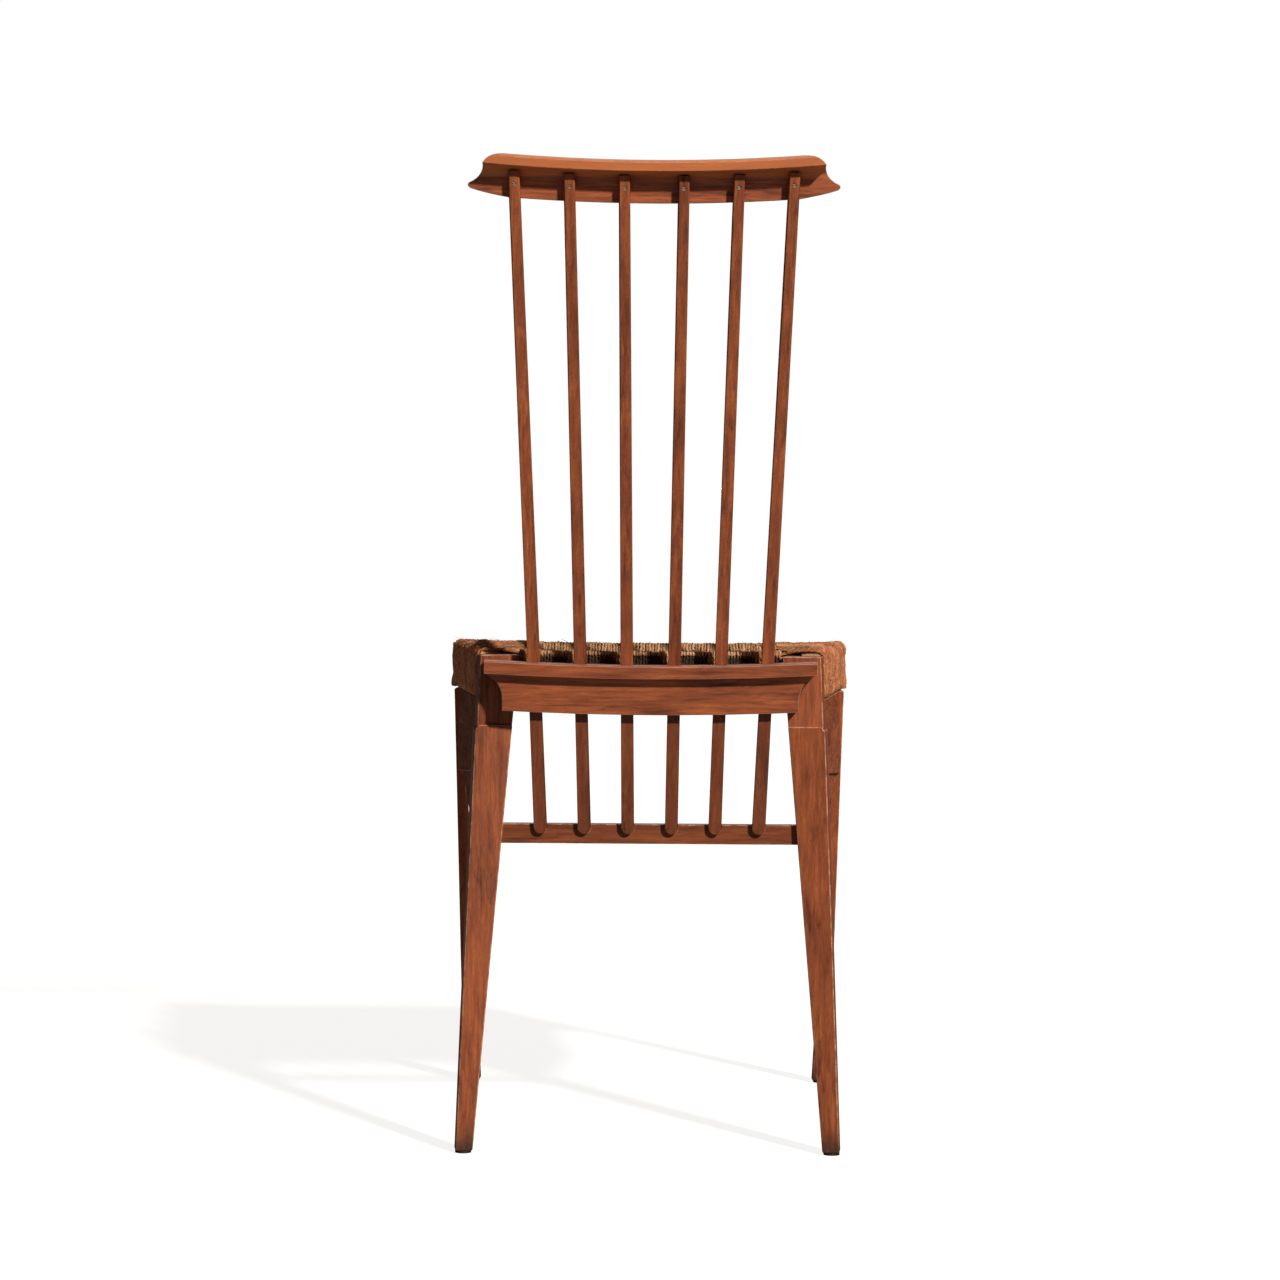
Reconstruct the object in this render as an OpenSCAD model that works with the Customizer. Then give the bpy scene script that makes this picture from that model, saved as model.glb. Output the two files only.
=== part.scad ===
// High-backed dining chair with a woven straw seat. Two tapered rear legs carry a
// moulded back rail; six thin spindles fan up behind the seat to a lipped crest rail.
// Origin on the floor under the middle of the chair, +Z up, the sitter faces -Y.
// Left and right are the sitter's: left is +X.

/* [Seat] */
// Height of the seat at its corners
seat_h = 483; // [464:1:504]
// Width of the straw at its front edge
seat_front_w = 426; // [420:1:432]
// Width of the straw at its back edge
seat_back_w = 332; // [324:1:338]
// Depth of the straw from its front to its back face
seat_depth = 387; // [380:1:394]
// Distance from the middle of the chair to the back face of the straw
seat_back = 170; // [166:1:173]
// Thickness of the straw wound over the rails
straw_t = 5; // [4:0.5:6]
// Rounding of the straw over the edges of the rails
straw_round = 7; // [5:0.5:9]
// How far the front and back edges of the seat sag between its corners
seat_sag = 4; // [2:0.5:5]
// How far the middle of the seat lies below the middle of those edges
seat_dip = 3; // [1:0.5:6]
// Height of the four seat rails
rail_h = 38; // [32:1:42]
// Thickness of the four seat rails
rail_t = 18; // [15:1:20]

/* [Rear legs] */
// How far the tops of the rear legs lie below the seat's corners
rear_leg_drop = 8; // [6:0.5:11]
// How far the tops of the rear legs stand inside the straw's back corners
rear_leg_inset = 1; // [0:0.5:3]
// How far a rear leg leans out from its top to the floor
rear_splay = 18; // [10:0.5:24]
// Width of a rear leg at its top, seen from behind
rear_top_w = 39; // [36:0.5:42]
// Width of a rear leg at its foot, seen from behind
rear_foot_w = 16.3; // [14:0.1:20]
// Depth of a rear leg at its top
rear_top_d = 40; // [36:1:44]
// Depth of a rear leg at its foot
rear_foot_d = 17; // [15:0.5:22]
// How far the rear feet stand behind the straw
rear_foot_out = 35; // [31:0.5:41]
// Backward rake of the rear legs, from their tops to the floor
rear_rake = 26; // [22:1:30]
// Height from the shoulder that carries the back rail to the top of a rear leg
shoulder_h = 67; // [62:0.5:72]
// Depth of the sloping shoulder on the outer side of the leg
shoulder_d = 2; // [1:0.5:3]

/* [Front legs] */
// How far the front legs stand inside the straw's front corners
front_leg_inset = 5; // [3:0.5:7]
// How far a front leg leans in from the straw to the floor
front_lean = 8.5; // [4:0.5:14]
// Thickness of a front leg at its foot, seen from behind
front_foot_w = 18.5; // [15:0.5:22]
// Thickness of a front leg at its waist
front_waist_w = 9.5; // [9:0.5:13]
// Thickness of a front leg at its head
front_head_w = 22; // [19:0.5:24]
// Height from the waist to the straw
waist_h = 90; // [80:1:104]
// Depth of a front leg at its foot
front_foot_d = 17; // [15:0.5:22]
// Depth of a front leg at its waist
front_waist_d = 34; // [28:1:40]
// Depth of a front leg under the straw
front_head_d = 40; // [36:1:46]
// Depth of the post that stands in the corner of the seat
post_d = 24; // [20:1:26]
// Distance of the posts behind the front face of the straw
post_inset = 5; // [4:0.5:7]
// How far the posts stand inside the outer faces of the front legs
post_step = 3; // [2:0.5:4]
// Forward rake of the front legs, from the straw to the floor
front_rake = 46; // [34:1:50]
// Straight part of a front leg's head under the straw
head_h = 8; // [4:1:12]
// Length of the curve from a front leg's head to its waist
waist_sweep = 54; // [44:1:60]

/* [Side aprons] */
// Distance of an apron behind the outer face of the straw
apron_inset = 4; // [3:0.5:6]
// Thickness of an apron's upper band
apron_t = 10; // [9:0.5:12]
// How far the lower band lies behind the upper band
apron_step = 3.5; // [2:0.5:5]
// Height of the upper band at the front leg
band_front_h = 90; // [81:1:96]
// Height of the upper band at the rear leg
band_rear_h = 69; // [60:1:78]
// Height of the whole apron at the rear leg
apron_h = 131; // [122:1:141]
// Length of the curve that brings the lower edge up towards the front leg
apron_sweep = 180; // [140:5:200]
// Straight part of the lower edge between that curve and the front leg
apron_reach = 20; // [10:1:30]

/* [Back] */
// Lean of the spindles
back_lean = 5.71; // [4:0.1:7]
// How far the middle of the back rail's top lies below the tops of the rear legs
back_rail_drop = 8.5; // [6:0.5:11]
// Height of the back rail
back_rail_h = 47.5; // [44:0.5:50]
// Width of the back rail's upper band
back_rail_w = 316; // [310:1:322]
// Thickness of the back rail's lower band
back_rail_t = 28.6; // [24:0.2:32]
// How far the upper band stands out from the lower band
back_rail_lip = 11.4; // [8:0.2:13]
// Height of the back rail's upper band
back_rail_band = 13; // [10:0.5:16]
// Radius of the hollow cut at each end of the back rail
back_rail_end_r = 26; // [20:1:28]
// Height of that hollow's circle over the lower edge of the band
back_rail_end_rise = 2; // [1:0.5:3]
// Step between the band's end and the hollow
back_rail_end_step = 1; // [0.5:0.5:2]
// How far the ends of the back rail rise over its middle
back_rail_sag = 4.3; // [2:0.1:7]
// Depth of the seats for the back rail in the rear legs
rebate_d = 4.8; // [4:0.2:6]
// Gap between the front of the back rail and the spindles in its slots
spindle_inset = 6.9; // [5:0.1:9]
// Width of a spindle at its head
spindle_w = 10.8; // [9:0.1:12]
// Width of a spindle at its lower end
spindle_low_w = 12.4; // [11:0.1:14]
// Depth of a spindle
spindle_d = 10.5; // [9:0.1:12]
// Spacing of the spindles at the crest rail
pitch_top = 51.8; // [49:0.1:53]
// How much wider the middle spacing is there
middle_gap = 4.2; // [0:0.1:6]
// Spacing of the spindles at the cross stretcher
pitch_low = 41.7; // [38:0.1:43]
// Distance along the back from the floor to the spindles' lower ends
spindle_low = 306.5; // [303:0.5:310]
// Height of the cross stretcher's underside
stretcher_z = 294.3; // [290:0.5:298]
// Height of the cross stretcher
stretcher_h = 18.7; // [16:0.1:21]
// Depth of the cross stretcher
stretcher_d = 18; // [14:0.5:19]
// Depth of the spindles' housings in the cross stretcher
housing_d = 5; // [3:0.5:7]

/* [Crest rail] */
// Distance along the back from the floor to the crest rail's lower edge
crest_low = 905.7; // [890:0.5:920]
// Height of the crest rail along the back
crest_h = 38.4; // [36:0.5:44]
// Thickness of the crest rail in front of the spindles
crest_t = 17; // [14:0.5:20]
// Height of the crest rail's lower band
crest_band = 15; // [13:0.5:17]
// Height of the lip's back face
crest_lip_h = 10; // [8:0.5:11]
// How far the lip stands out over the lower band
crest_lip = 21.8; // [18:0.2:26]
// How far the top bulges between its front and back edges
crest_crown = 2; // [0.5:0.5:3]
// Rounding of the crest rail's front edges
crest_ease = 3; // [2:0.5:4]
// Width of the crest rail over its pointed ends
crest_w = 350; // [340:1:360]
// Width of the crest rail's lip
crest_lip_w = 321; // [314:1:326]
// How far the crest rail's ends rise over its middle
crest_sag = 8; // [4:0.5:11]
// Height of the pointed ends over the lower edge's middle
crest_tip = 16.4; // [15:0.2:19]
// Bluntness of the pointed ends
crest_blunt = 2; // [1:0.5:3]
// Length over which the lower edge runs up to the points
crest_point = 38; // [30:1:46]

/* [Fixings] */
// Diameter of the dowels in the seat frame
dowel_dia = 8; // [6:0.5:9]
// Diameter of the dowels in the aprons
apron_dowel_dia = 5; // [4:0.5:6]
// Length of the dowels
dowel_len = 24; // [20:1:26]
// Height of the screws over the crest rail's lower edge
screw_rise = 13.4; // [11:0.1:16]
// Diameter of the screw heads
screw_head = 4; // [3.6:0.1:5]
// How far the screw heads lie below the spindles' faces
screw_sink = 0.6; // [0.3:0.1:1]
// Width of the slots in the screw heads
screw_slot = 0.7; // [0.5:0.1:1]
// Diameter of the screws
screw_dia = 2.6; // [2:0.1:3]
// Length of the screws
screw_len = 20; // [16:1:24]
// Diameter of the glides under the feet
glide_dia = 15.5; // [12:0.5:16]
// Thickness of the glides
glide_t = 2.5; // [2:0.5:4]

/* [Hidden] */
$fn = 48;

wood = "#8a4a2b";
dark_wood = "#6d3a24";
straw = "#9a6a44";
beech = "#c8a070";
steel = "#b9b6ae";
rubber = "#2b211c";

// Clearance between pieces that fit into each other
fit = 0.15;
// Clearance round the soft straw
soft_fit = 0.3;
// Distance between the stuffing and the straw round the rails
stuffing_gap = 2;
// Space over the spindles' heads, under the lip of the crest rail
head_gap = 3;
// Small rounding of the crest rail's lip
crest_edge = 1;
// Nail of a glide
pin_dia = 3;
pin_len = 9;
// Longer than any piece is wide
far = 600;
// Steps of a full circle for shallow curves
curve_fn = 1200;

// Places of the straw's front face, the posts, and the backs and fronts of the feet
seat_front = seat_depth - seat_back;
post_front = seat_front - post_inset;
front_foot_front = post_front + front_rake;
rear_foot_back = seat_back + rear_foot_out;
// Heights in the seat
rail_top = seat_h - seat_sag - straw_t;
rail_low = rail_top - rail_h;
straw_low = rail_low - straw_t;
rail_mid = rail_low + rail_h / 2;
wrap_t = rail_t + 2 * straw_t;
post_h = rail_top + seat_sag;
// Heights that follow the seat
rear_leg_h = seat_h - rear_leg_drop;
shoulder_z = rear_leg_h - shoulder_h;
back_rail_z = rear_leg_h - back_rail_drop - back_rail_h;
waist_z = straw_low - waist_h;
band_front_z = straw_low - band_front_h;
band_rear_z = straw_low - band_rear_h;
apron_low_z = straw_low - apron_h;
// The dowels in one post pass each other at this height above and below the middle
dowel_rise = rail_h / 5;

// Angle of the seat's sides in plan, and half its width at a place y
side_slope = (seat_front_w - seat_back_w) / 2 / (seat_front + seat_back);
taper = atan(side_slope);
function half_w(y) = seat_back_w / 2 + (seat_back - y) * side_slope;
function mix(a, b, t) = a + (b - a) * t;
function curve(a, b, c, n) = [for (i = [0 : n]) let (t = i / n) mix(mix(a, b, t), mix(b, c, t), t)];
function arc(c, r, a0, a1, n) = [for (i = [0 : n]) let (a = mix(a0, a1, i / n)) c + r * [cos(a), sin(a)]];

// Outer back corner of a rear leg, at its top and at the floor, in plan
rear_top = [seat_back_w / 2 - rear_leg_inset, rear_foot_back - rear_rake];
rear_foot = rear_top + [rear_splay, rear_rake];
// The foot's corner before the leg is turned to follow the seat's side
rear_foot_flat = rear_top + [
    (rear_foot - rear_top) * [cos(taper), sin(taper)],
    (rear_foot - rear_top) * [-sin(taper), cos(taper)]
];
function rear_back(z) = mix(rear_foot_flat[1], rear_top[1], z / rear_leg_h);
function rear_front(z) = rear_back(z) - mix(rear_foot_d, rear_top_d, z / rear_leg_h);
function rear_outer(z) = mix(rear_foot_flat[0], rear_top[0], z / rear_leg_h);

// Plane on which the back rail sits on both rear legs
back_rail_mid = back_rail_z + back_rail_h / 2;
rebate_y = rear_foot_back - rear_rake * back_rail_mid / rear_leg_h - rebate_d;
// Front plane of the spindles, which the whole back follows
back_foot_y = rebate_y + spindle_inset - back_rail_z * tan(back_lean);
function back_y(z) = back_foot_y + z * tan(back_lean);

// Radius of the circle that gives a rail of half width w its rise
function rise_r(w, rise) = (w * w + rise * rise) / 2 / rise;
crest_r = rise_r(crest_w / 2, crest_sag);
back_rail_r = rise_r(back_rail_w / 2, back_rail_sag);
seat_r = rise_r(seat_front_w / 2, seat_sag);
function rise(x, r) = r - sqrt(r * r - x * x);
function seat_z(x) = seat_h - seat_sag + rise(x, seat_r);

// Front leg, seen from behind
function front_outer(z) = seat_front_w / 2 - front_leg_inset - front_lean * (1 - min(z, straw_low) / straw_low);
head_in = front_outer(straw_low) - front_head_w;
waist_in = front_outer(waist_z) - front_waist_w;
post_outer = front_outer(straw_low) - post_step;

// A profile in x and z, drawn out along y, and one in y and z, drawn out along x
module along_y(points) {
    rotate([90, 0, 0]) linear_extrude(far, center = true) polygon(points);
}
module along_x(points) {
    rotate([90, 0, 90]) linear_extrude(far, center = true) polygon(points);
}
// A profile in y and z, swept along a shallow circle that rises to both ends
module smile(points, r, low, w) {
    turn = asin(min(1, (w / 2 + 10) / r));
    translate([0, 0, low + r]) rotate([90, 0, 0]) rotate([0, 0, -90 - turn])
        rotate_extrude(angle = 2 * turn, $fn = curve_fn) polygon([for (p = points) [low + r - p[1], -p[0]]]);
}
module both_sides() {
    children();
    mirror([1, 0, 0]) children();
}
// Frame of a seat side: x = 0 on the straw's outer face, y along the side
module side_frame() {
    translate([half_w(0), 0, 0]) rotate([0, 0, taper]) children();
}
// Frame of the leaning back: y = 0 on the spindles' front faces, z along them
module back_frame() {
    translate([0, back_foot_y, 0]) rotate([-back_lean, 0, 0]) children();
}
// Frame of a rear leg, turned to follow the seat's side
module rear_leg_frame() {
    translate(rear_top) rotate([0, 0, taper]) translate(-rear_top) children();
}

module rear_leg_blank(grow = 0) {
    rear_leg_frame() intersection() {
        along_y([
            [rear_outer(0) - rear_foot_w - grow, 0], [rear_outer(0) + grow, 0],
            [rear_outer(shoulder_z) + grow, shoulder_z - 2 * shoulder_d],
            [rear_outer(shoulder_z) - shoulder_d + grow, shoulder_z - shoulder_d],
            [rear_outer(rear_leg_h) - shoulder_d + grow, rear_leg_h + grow],
            [rear_outer(rear_leg_h) - rear_top_w - grow, rear_leg_h + grow]
        ]);
        along_x([
            [rear_front(glide_t) - grow, glide_t], [rear_back(glide_t) + grow, glide_t],
            [rear_back(rear_leg_h) + grow, rear_leg_h + grow],
            [rear_front(rear_leg_h) - grow, rear_leg_h + grow]
        ]);
    }
}
// Everything behind the front face of a rear leg
module rear_leg_cut(grow = 0) {
    rear_leg_frame() along_x([
        [rear_front(0) - grow, 0], [far, 0], [far, far], [rear_front(far) - grow, far]
    ]);
}
module front_leg_blank(grow = 0) {
    inner = concat(
        [[head_in - grow, post_h + grow]],
        curve([head_in - grow, straw_low - head_h], [waist_in - grow, straw_low - waist_sweep],
            [waist_in - grow, waist_z], 10)
    );
    intersection() {
        along_y(concat(inner, [
            [front_outer(0) - front_foot_w - grow, 0], [front_outer(0) + grow, 0],
            [front_outer(straw_low) + grow, straw_low - soft_fit], [post_outer + grow, straw_low - soft_fit],
            [post_outer + grow, post_h + grow]
        ]));
        along_x([
            [-front_foot_front - grow, glide_t], [front_foot_d - front_foot_front + grow, glide_t],
            [front_waist_back() + grow, waist_z],
            [front_head_back(straw_low - soft_fit) + grow, straw_low - soft_fit],
            [post_d - post_front + grow, straw_low - soft_fit], [post_d - post_front + grow, post_h + grow],
            [-post_front - grow, post_h + grow], [-post_front - grow, straw_low]
        ]);
    }
}
function front_waist_back() = front_waist_d - mix(front_foot_front, post_front, waist_z / straw_low);
function front_head_back(z) = mix(front_waist_back(), front_head_d - post_front, (z - waist_z) / (straw_low - waist_z));

// A dowel across a joint: its middle lies at the joint, its axis along y
module dowel(dia, grow) {
    rotate([90, 0, 0]) cylinder(d = dia + 2 * grow, h = dowel_len + 2 * grow, center = true);
}
module left_dowels(grow = 0) {
    side_frame() {
        translate([-wrap_t / 2, (post_d - post_front) / cos(taper) + wrap_t / 2 * tan(taper), rail_mid + dowel_rise])
            dowel(dowel_dia, grow);
        translate([-wrap_t / 2, rear_front(rail_mid) / cos(taper), rail_mid + dowel_rise])
            dowel(dowel_dia, grow);
        for (y = [front_waist_back(), rear_front(apron_dowel_z)])
            translate([-apron_inset - apron_t * 0.6, y / cos(taper), apron_dowel_z])
                dowel(apron_dowel_dia, grow);
    }
    translate([head_in, straw_t + rail_t / 2 - seat_front, rail_mid - dowel_rise])
        rotate([0, 0, 90]) dowel(dowel_dia, grow);
    translate([rear_inner(rail_mid), seat_back - wrap_t / 2, rail_mid - dowel_rise])
        rotate([0, 0, 90]) dowel(dowel_dia, grow);
    translate([rear_inner(stretcher_z), stretcher_back - stretcher_d / 2, stretcher_z + stretcher_h / 2])
        rotate([0, 0, 90]) dowel(dowel_dia, grow);
    for (z = [back_rail_z + back_rail_h / 4, back_rail_z + back_rail_h * 3 / 4])
        translate([rear_inner(back_rail_mid) + dowel_dia, rebate_y, z]) dowel(dowel_dia, grow);
}
function rear_inner(z) = rear_outer(z) - mix(rear_foot_w, rear_top_w, z / rear_leg_h);
apron_dowel_z = mix(band_rear_z, straw_low, 0.47);
stretcher_back = back_y(stretcher_z + stretcher_h / 2) + housing_d;

module glide_shape(grow = 0) {
    cylinder(d = glide_dia, h = glide_t);
    cylinder(d = pin_dia + 2 * grow, h = glide_t + pin_len + grow);
}
module rear_glide_place() {
    rear_leg_frame() translate([rear_outer(0) - rear_foot_w / 2, (rear_front(0) + rear_back(0)) / 2, 0]) children();
}
module front_glide_place() {
    translate([front_outer(0) - front_foot_w / 2, front_foot_d / 2 - front_foot_front, 0]) children();
}

module rear_leg() {
    color(wood) difference() {
        rear_leg_blank();
        translate([0, rebate_y, shoulder_z]) cube([far, far, far]);
        left_dowels(fit);
        rear_glide_place() glide_shape(fit);
    }
}
module front_leg() {
    color(wood) difference() {
        front_leg_blank();
        left_dowels(fit);
        front_glide_place() glide_shape(fit);
    }
}
// Board from the post to the rear leg, cut to both
module side_rail() {
    color(beech) difference() {
        side_rail_blank();
        translate([0, post_d - post_front - far, 0]) cube([far, far, far]);
        rear_leg_cut();
        left_dowels(fit);
    }
}
module side_rail_blank(grow = 0) {
    side_frame() translate([-straw_t - rail_t - grow, -post_front, rail_low + seat_sag - grow])
        cube([rail_t + 2 * grow, post_front + rear_front(rail_mid) + rear_top_d / 2, rail_h + 2 * grow]);
}
module front_rail_blank(grow = 0) {
    translate([-head_in, straw_t - seat_front - grow, rail_low - grow])
        cube([2 * head_in, rail_t + 2 * grow, rail_h + 2 * grow]);
}
module back_seat_rail_blank(grow = 0) {
    translate([rear_top_w / 2 - rear_top[0], seat_back - straw_t - rail_t - grow, rail_low - grow])
        cube([2 * rear_top[0] - rear_top_w, rail_t + 2 * grow, rail_h + 2 * grow]);
}
module front_rail() {
    color(beech) difference() {
        front_rail_blank();
        both_sides() left_dowels(fit);
    }
}
module back_seat_rail() {
    color(beech) difference() {
        back_seat_rail_blank();
        both_sides() rear_leg_blank();
        both_sides() left_dowels(fit);
    }
}

// Side apron: a proud upper band over a lower band that sweeps up to the front leg
module side_apron() {
    front_end = -post_front;
    rear_end = rear_front(band_rear_z) + rear_foot_d / 2;
    sweep_front = front_waist_back() + apron_reach;
    sweep_back = sweep_front + apron_sweep;
    top = straw_low - soft_fit;
    low_edge = [for (i = [0 : 16]) let (t = i / 16)
        [mix(sweep_back, sweep_front, t), mix(apron_low_z, band_front_z, (1 - cos(180 * t)) / 2)]];
    color(wood) difference() {
        side_frame() {
            translate([-apron_inset - apron_t, 0, 0]) rotate([90, 0, 90]) linear_extrude(apron_t - apron_step)
                polygon(concat([[rear_end, top], [rear_end, apron_low_z]], low_edge,
                    [[front_end, band_front_z], [front_end, top]]));
            translate([-apron_inset - apron_t, 0, 0]) rotate([90, 0, 90]) linear_extrude(apron_t)
                polygon([[rear_end, top], [rear_end, band_rear_z], [front_end, band_front_z], [front_end, top]]);
        }
        rear_leg_cut();
        front_leg_cut();
        left_dowels(fit);
    }
}
// Everything in front of the front leg's back edge
module front_leg_cut() {
    along_x([
        [-far, 0], [front_foot_d - front_foot_front, glide_t], [front_waist_back(), waist_z],
        [front_head_back(seat_h), seat_h], [-far, seat_h]
    ]);
}

// Half-space with the straw's two rounded edges, its outer face at x = 0, drawn along y
module wrap_side() {
    h = seat_h - straw_low;
    rotate([90, 0, 0]) linear_extrude(2 * far, center = true) {
        translate([-far, straw_round]) square([far, h - 2 * straw_round]);
        translate([-far, 0]) square([far - straw_round, h]);
        for (z = [straw_round, h - straw_round]) translate([-straw_round, z]) circle(straw_round);
    }
}
// The top of the seat sags from side to side, with its front and back edges rounded
module seat_top() {
    top = seat_h - seat_sag;
    smile(concat(
        [[-seat_front, 0]],
        arc([straw_round - seat_front, top - straw_round], straw_round, 180, 90, 8),
        arc([seat_back - straw_round, top - straw_round], straw_round, 90, 0, 8),
        [[seat_back, 0]]
    ), seat_r, top, seat_front_w);
}
// The seat's plan, with its front corners rounded
module seat_plan() {
    front = straw_round - seat_front;
    side = half_w(front) - straw_round / cos(taper);
    linear_extrude(far) polygon(concat(
        arc([side, front], straw_round, -90, taper, 8),
        [[half_w(seat_back), seat_back], [-half_w(seat_back), seat_back]],
        arc([-side, front], straw_round, 180 - taper, 270, 8)
    ));
}
// Everything over the seat's underside, with its front and back edges rounded
module seat_underside() {
    along_x(concat(
        [[-seat_front, far]],
        arc([straw_round - seat_front, straw_low + straw_round], straw_round, 180, 270, 8),
        arc([seat_back - straw_round, straw_low + straw_round], straw_round, 270, 360, 8),
        [[seat_back, far]]
    ));
}
// The posts under the seat's front corners, and the corners that the rear legs take up
module corner_cuts() {
    translate([head_in - soft_fit, -post_front - soft_fit, 0])
        cube([post_outer - head_in + 2 * soft_fit, post_d + 2 * soft_fit, post_h + soft_fit]);
    intersection() {
        rear_leg_frame() along_y([
            [rear_inner(0) - soft_fit, 0], [far, 0], [far, far], [rear_inner(far) - soft_fit, far]
        ]);
        rear_leg_cut(soft_fit);
    }
}
// The four triangles of cord slope down to the middle of the seat
module seat_hollow() {
    front = wrap_t - seat_front;
    back = seat_back - wrap_t;
    rim = [
        [half_w(front) - wrap_t, front], [half_w(back) - wrap_t, back],
        [wrap_t - half_w(back), back], [wrap_t - half_w(front), front]
    ];
    polyhedron(
        concat([for (p = rim) [p[0], p[1], seat_z(p[0])]], [[0, (front + back) / 2, seat_z(0) - seat_dip], [0, 0, far]]),
        concat([for (i = [0 : 3]) [i, (i + 1) % 4, 4]], [for (i = [0 : 3]) [(i + 1) % 4, i, 5]])
    );
}
module straw_seat() {
    color(straw) difference() {
        intersection() {
            side_frame() translate([0, 0, straw_low]) wrap_side();
            mirror([1, 0, 0]) side_frame() translate([0, 0, straw_low]) wrap_side();
            seat_top();
            seat_plan();
            seat_underside();
        }
        seat_hollow();
        both_sides() corner_cuts();
        both_sides() side_rail_blank(fit);
        front_rail_blank(fit);
        back_seat_rail_blank(fit);
        stuffing_shape(soft_fit);
    }
}
// Padding between the upper and the lower layer of straw
module stuffing_shape(grow = 0) {
    edge = wrap_t + stuffing_gap - grow;
    front = wrap_t + stuffing_gap - seat_front - grow;
    back = rear_front(seat_h) - wrap_t / 2 + grow;
    translate([0, 0, straw_low + seat_dip + straw_t - grow])
        linear_extrude(rail_h - 2 * seat_dip + 2 * grow) polygon([
            [half_w(front) - edge, front], [half_w(back) - edge, back],
            [-half_w(back) + edge, back], [-half_w(front) + edge, front]
        ]);
}

// Spindle k counts from the left, and runs in the frame of the back
function spindle_k(k) = 3.5 - k;
function head_x(k) = spindle_k(k) * pitch_top + sign(spindle_k(k)) * middle_gap / 2;
function spindle_top(k) = crest_low + crest_h - crest_lip_h - head_gap + rise(head_x(k), crest_r);
spindle_span = crest_low + crest_h - crest_lip_h - spindle_low;
module on_spindle(k) {
    fan = atan((head_x(k) - spindle_k(k) * pitch_low) / spindle_span);
    translate([spindle_k(k) * pitch_low, 0, spindle_low]) rotate([0, fan, 0]) children();
}
// A slightly tapered bar with a round lower end
module spindle_blank(k, grow = 0, front = 0) {
    half = spindle_w / 2 + grow;
    low_half = spindle_low_w / 2 + grow;
    len = spindle_top(k) - spindle_low - spindle_low_w / 2 + grow;
    on_spindle(k) translate([0, spindle_d + grow, spindle_low_w / 2]) rotate([90, 0, 0])
        linear_extrude(spindle_d + grow + front) {
            polygon([[-low_half, 0], [low_half, 0], [half, len], [-half, len]]);
            circle(low_half);
        }
}
module on_screw(k) {
    along = crest_low + screw_rise + rise(head_x(k), crest_r) - spindle_low;
    on_spindle(k) translate([0, spindle_d, along]) rotate([90, 0, 0]) children();
}
// A countersunk screw, its head a little below the spindle's face
module screw_shape(k, grow = 0) {
    on_screw(k) translate([0, 0, screw_sink]) {
        cylinder(d1 = screw_head + 2 * grow, d2 = screw_dia + 2 * grow, h = screw_head / 2 + grow);
        cylinder(d = screw_dia + 2 * grow, h = screw_len + grow);
    }
}
module screw_hole(k) {
    screw_shape(k, fit);
    on_screw(k) translate([0, 0, -fit]) cylinder(d = screw_head + 2 * fit, h = screw_sink + 2 * fit);
}
module spindle(k) {
    color(dark_wood) back_frame() difference() {
        spindle_blank(k);
        screw_hole(k);
    }
}
module crest_screws() {
    color(steel) back_frame() for (k = [1 : 6]) difference() {
        screw_shape(k);
        on_screw(k) translate([-far / 2, -screw_slot / 2, 0]) cube([far, screw_slot, screw_sink + screw_slot]);
    }
}

// Moulded rail across the back of both rear legs
module back_rail() {
    top = back_rail_z + back_rail_h;
    lip_low = top - back_rail_band;
    back = rebate_y + back_rail_t;
    cove = back_rail_lip * 0.85;
    section = concat(
        [[rebate_y, back_rail_z], [back, back_rail_z]],
        arc([back + cove, lip_low - cove], cove, 180, 90, 8),
        [[back + back_rail_lip, lip_low], [back + back_rail_lip, top], [rebate_y, top]]
    );
    half = back_rail_w / 2;
    end_top = lip_low + back_rail_sag;
    start = 180 - asin(1 - back_rail_end_rise / back_rail_end_r);
    end_x = half - back_rail_end_step - back_rail_end_r * cos(start);
    right_end = concat(
        [[half, top + far / 4], [half, end_top]],
        arc([end_x, end_top + back_rail_end_rise - back_rail_end_r], back_rail_end_r, start, 180, 10),
        [[end_x - back_rail_end_r, back_rail_z - far / 4]]
    );
    left_end = [for (i = [len(right_end) - 1 : -1 : 0]) [-right_end[i][0], right_end[i][1]]];
    color(wood) difference() {
        intersection() {
            smile(section, back_rail_r, back_rail_z, back_rail_w);
            along_y(concat(right_end, left_end));
        }
        back_frame() for (k = [1 : 6]) spindle_blank(k, fit, far / 10);
        both_sides() left_dowels(fit);
    }
}

module cross_stretcher() {
    reach = rear_outer(stretcher_z) - rear_foot_w / 2;
    color(wood) difference() {
        translate([-reach, stretcher_back - stretcher_d, stretcher_z]) cube([2 * reach, stretcher_d, stretcher_h]);
        both_sides() rear_leg_blank();
        back_frame() for (k = [1 : 6]) spindle_blank(k, fit);
        both_sides() left_dowels(fit);
    }
}

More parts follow.
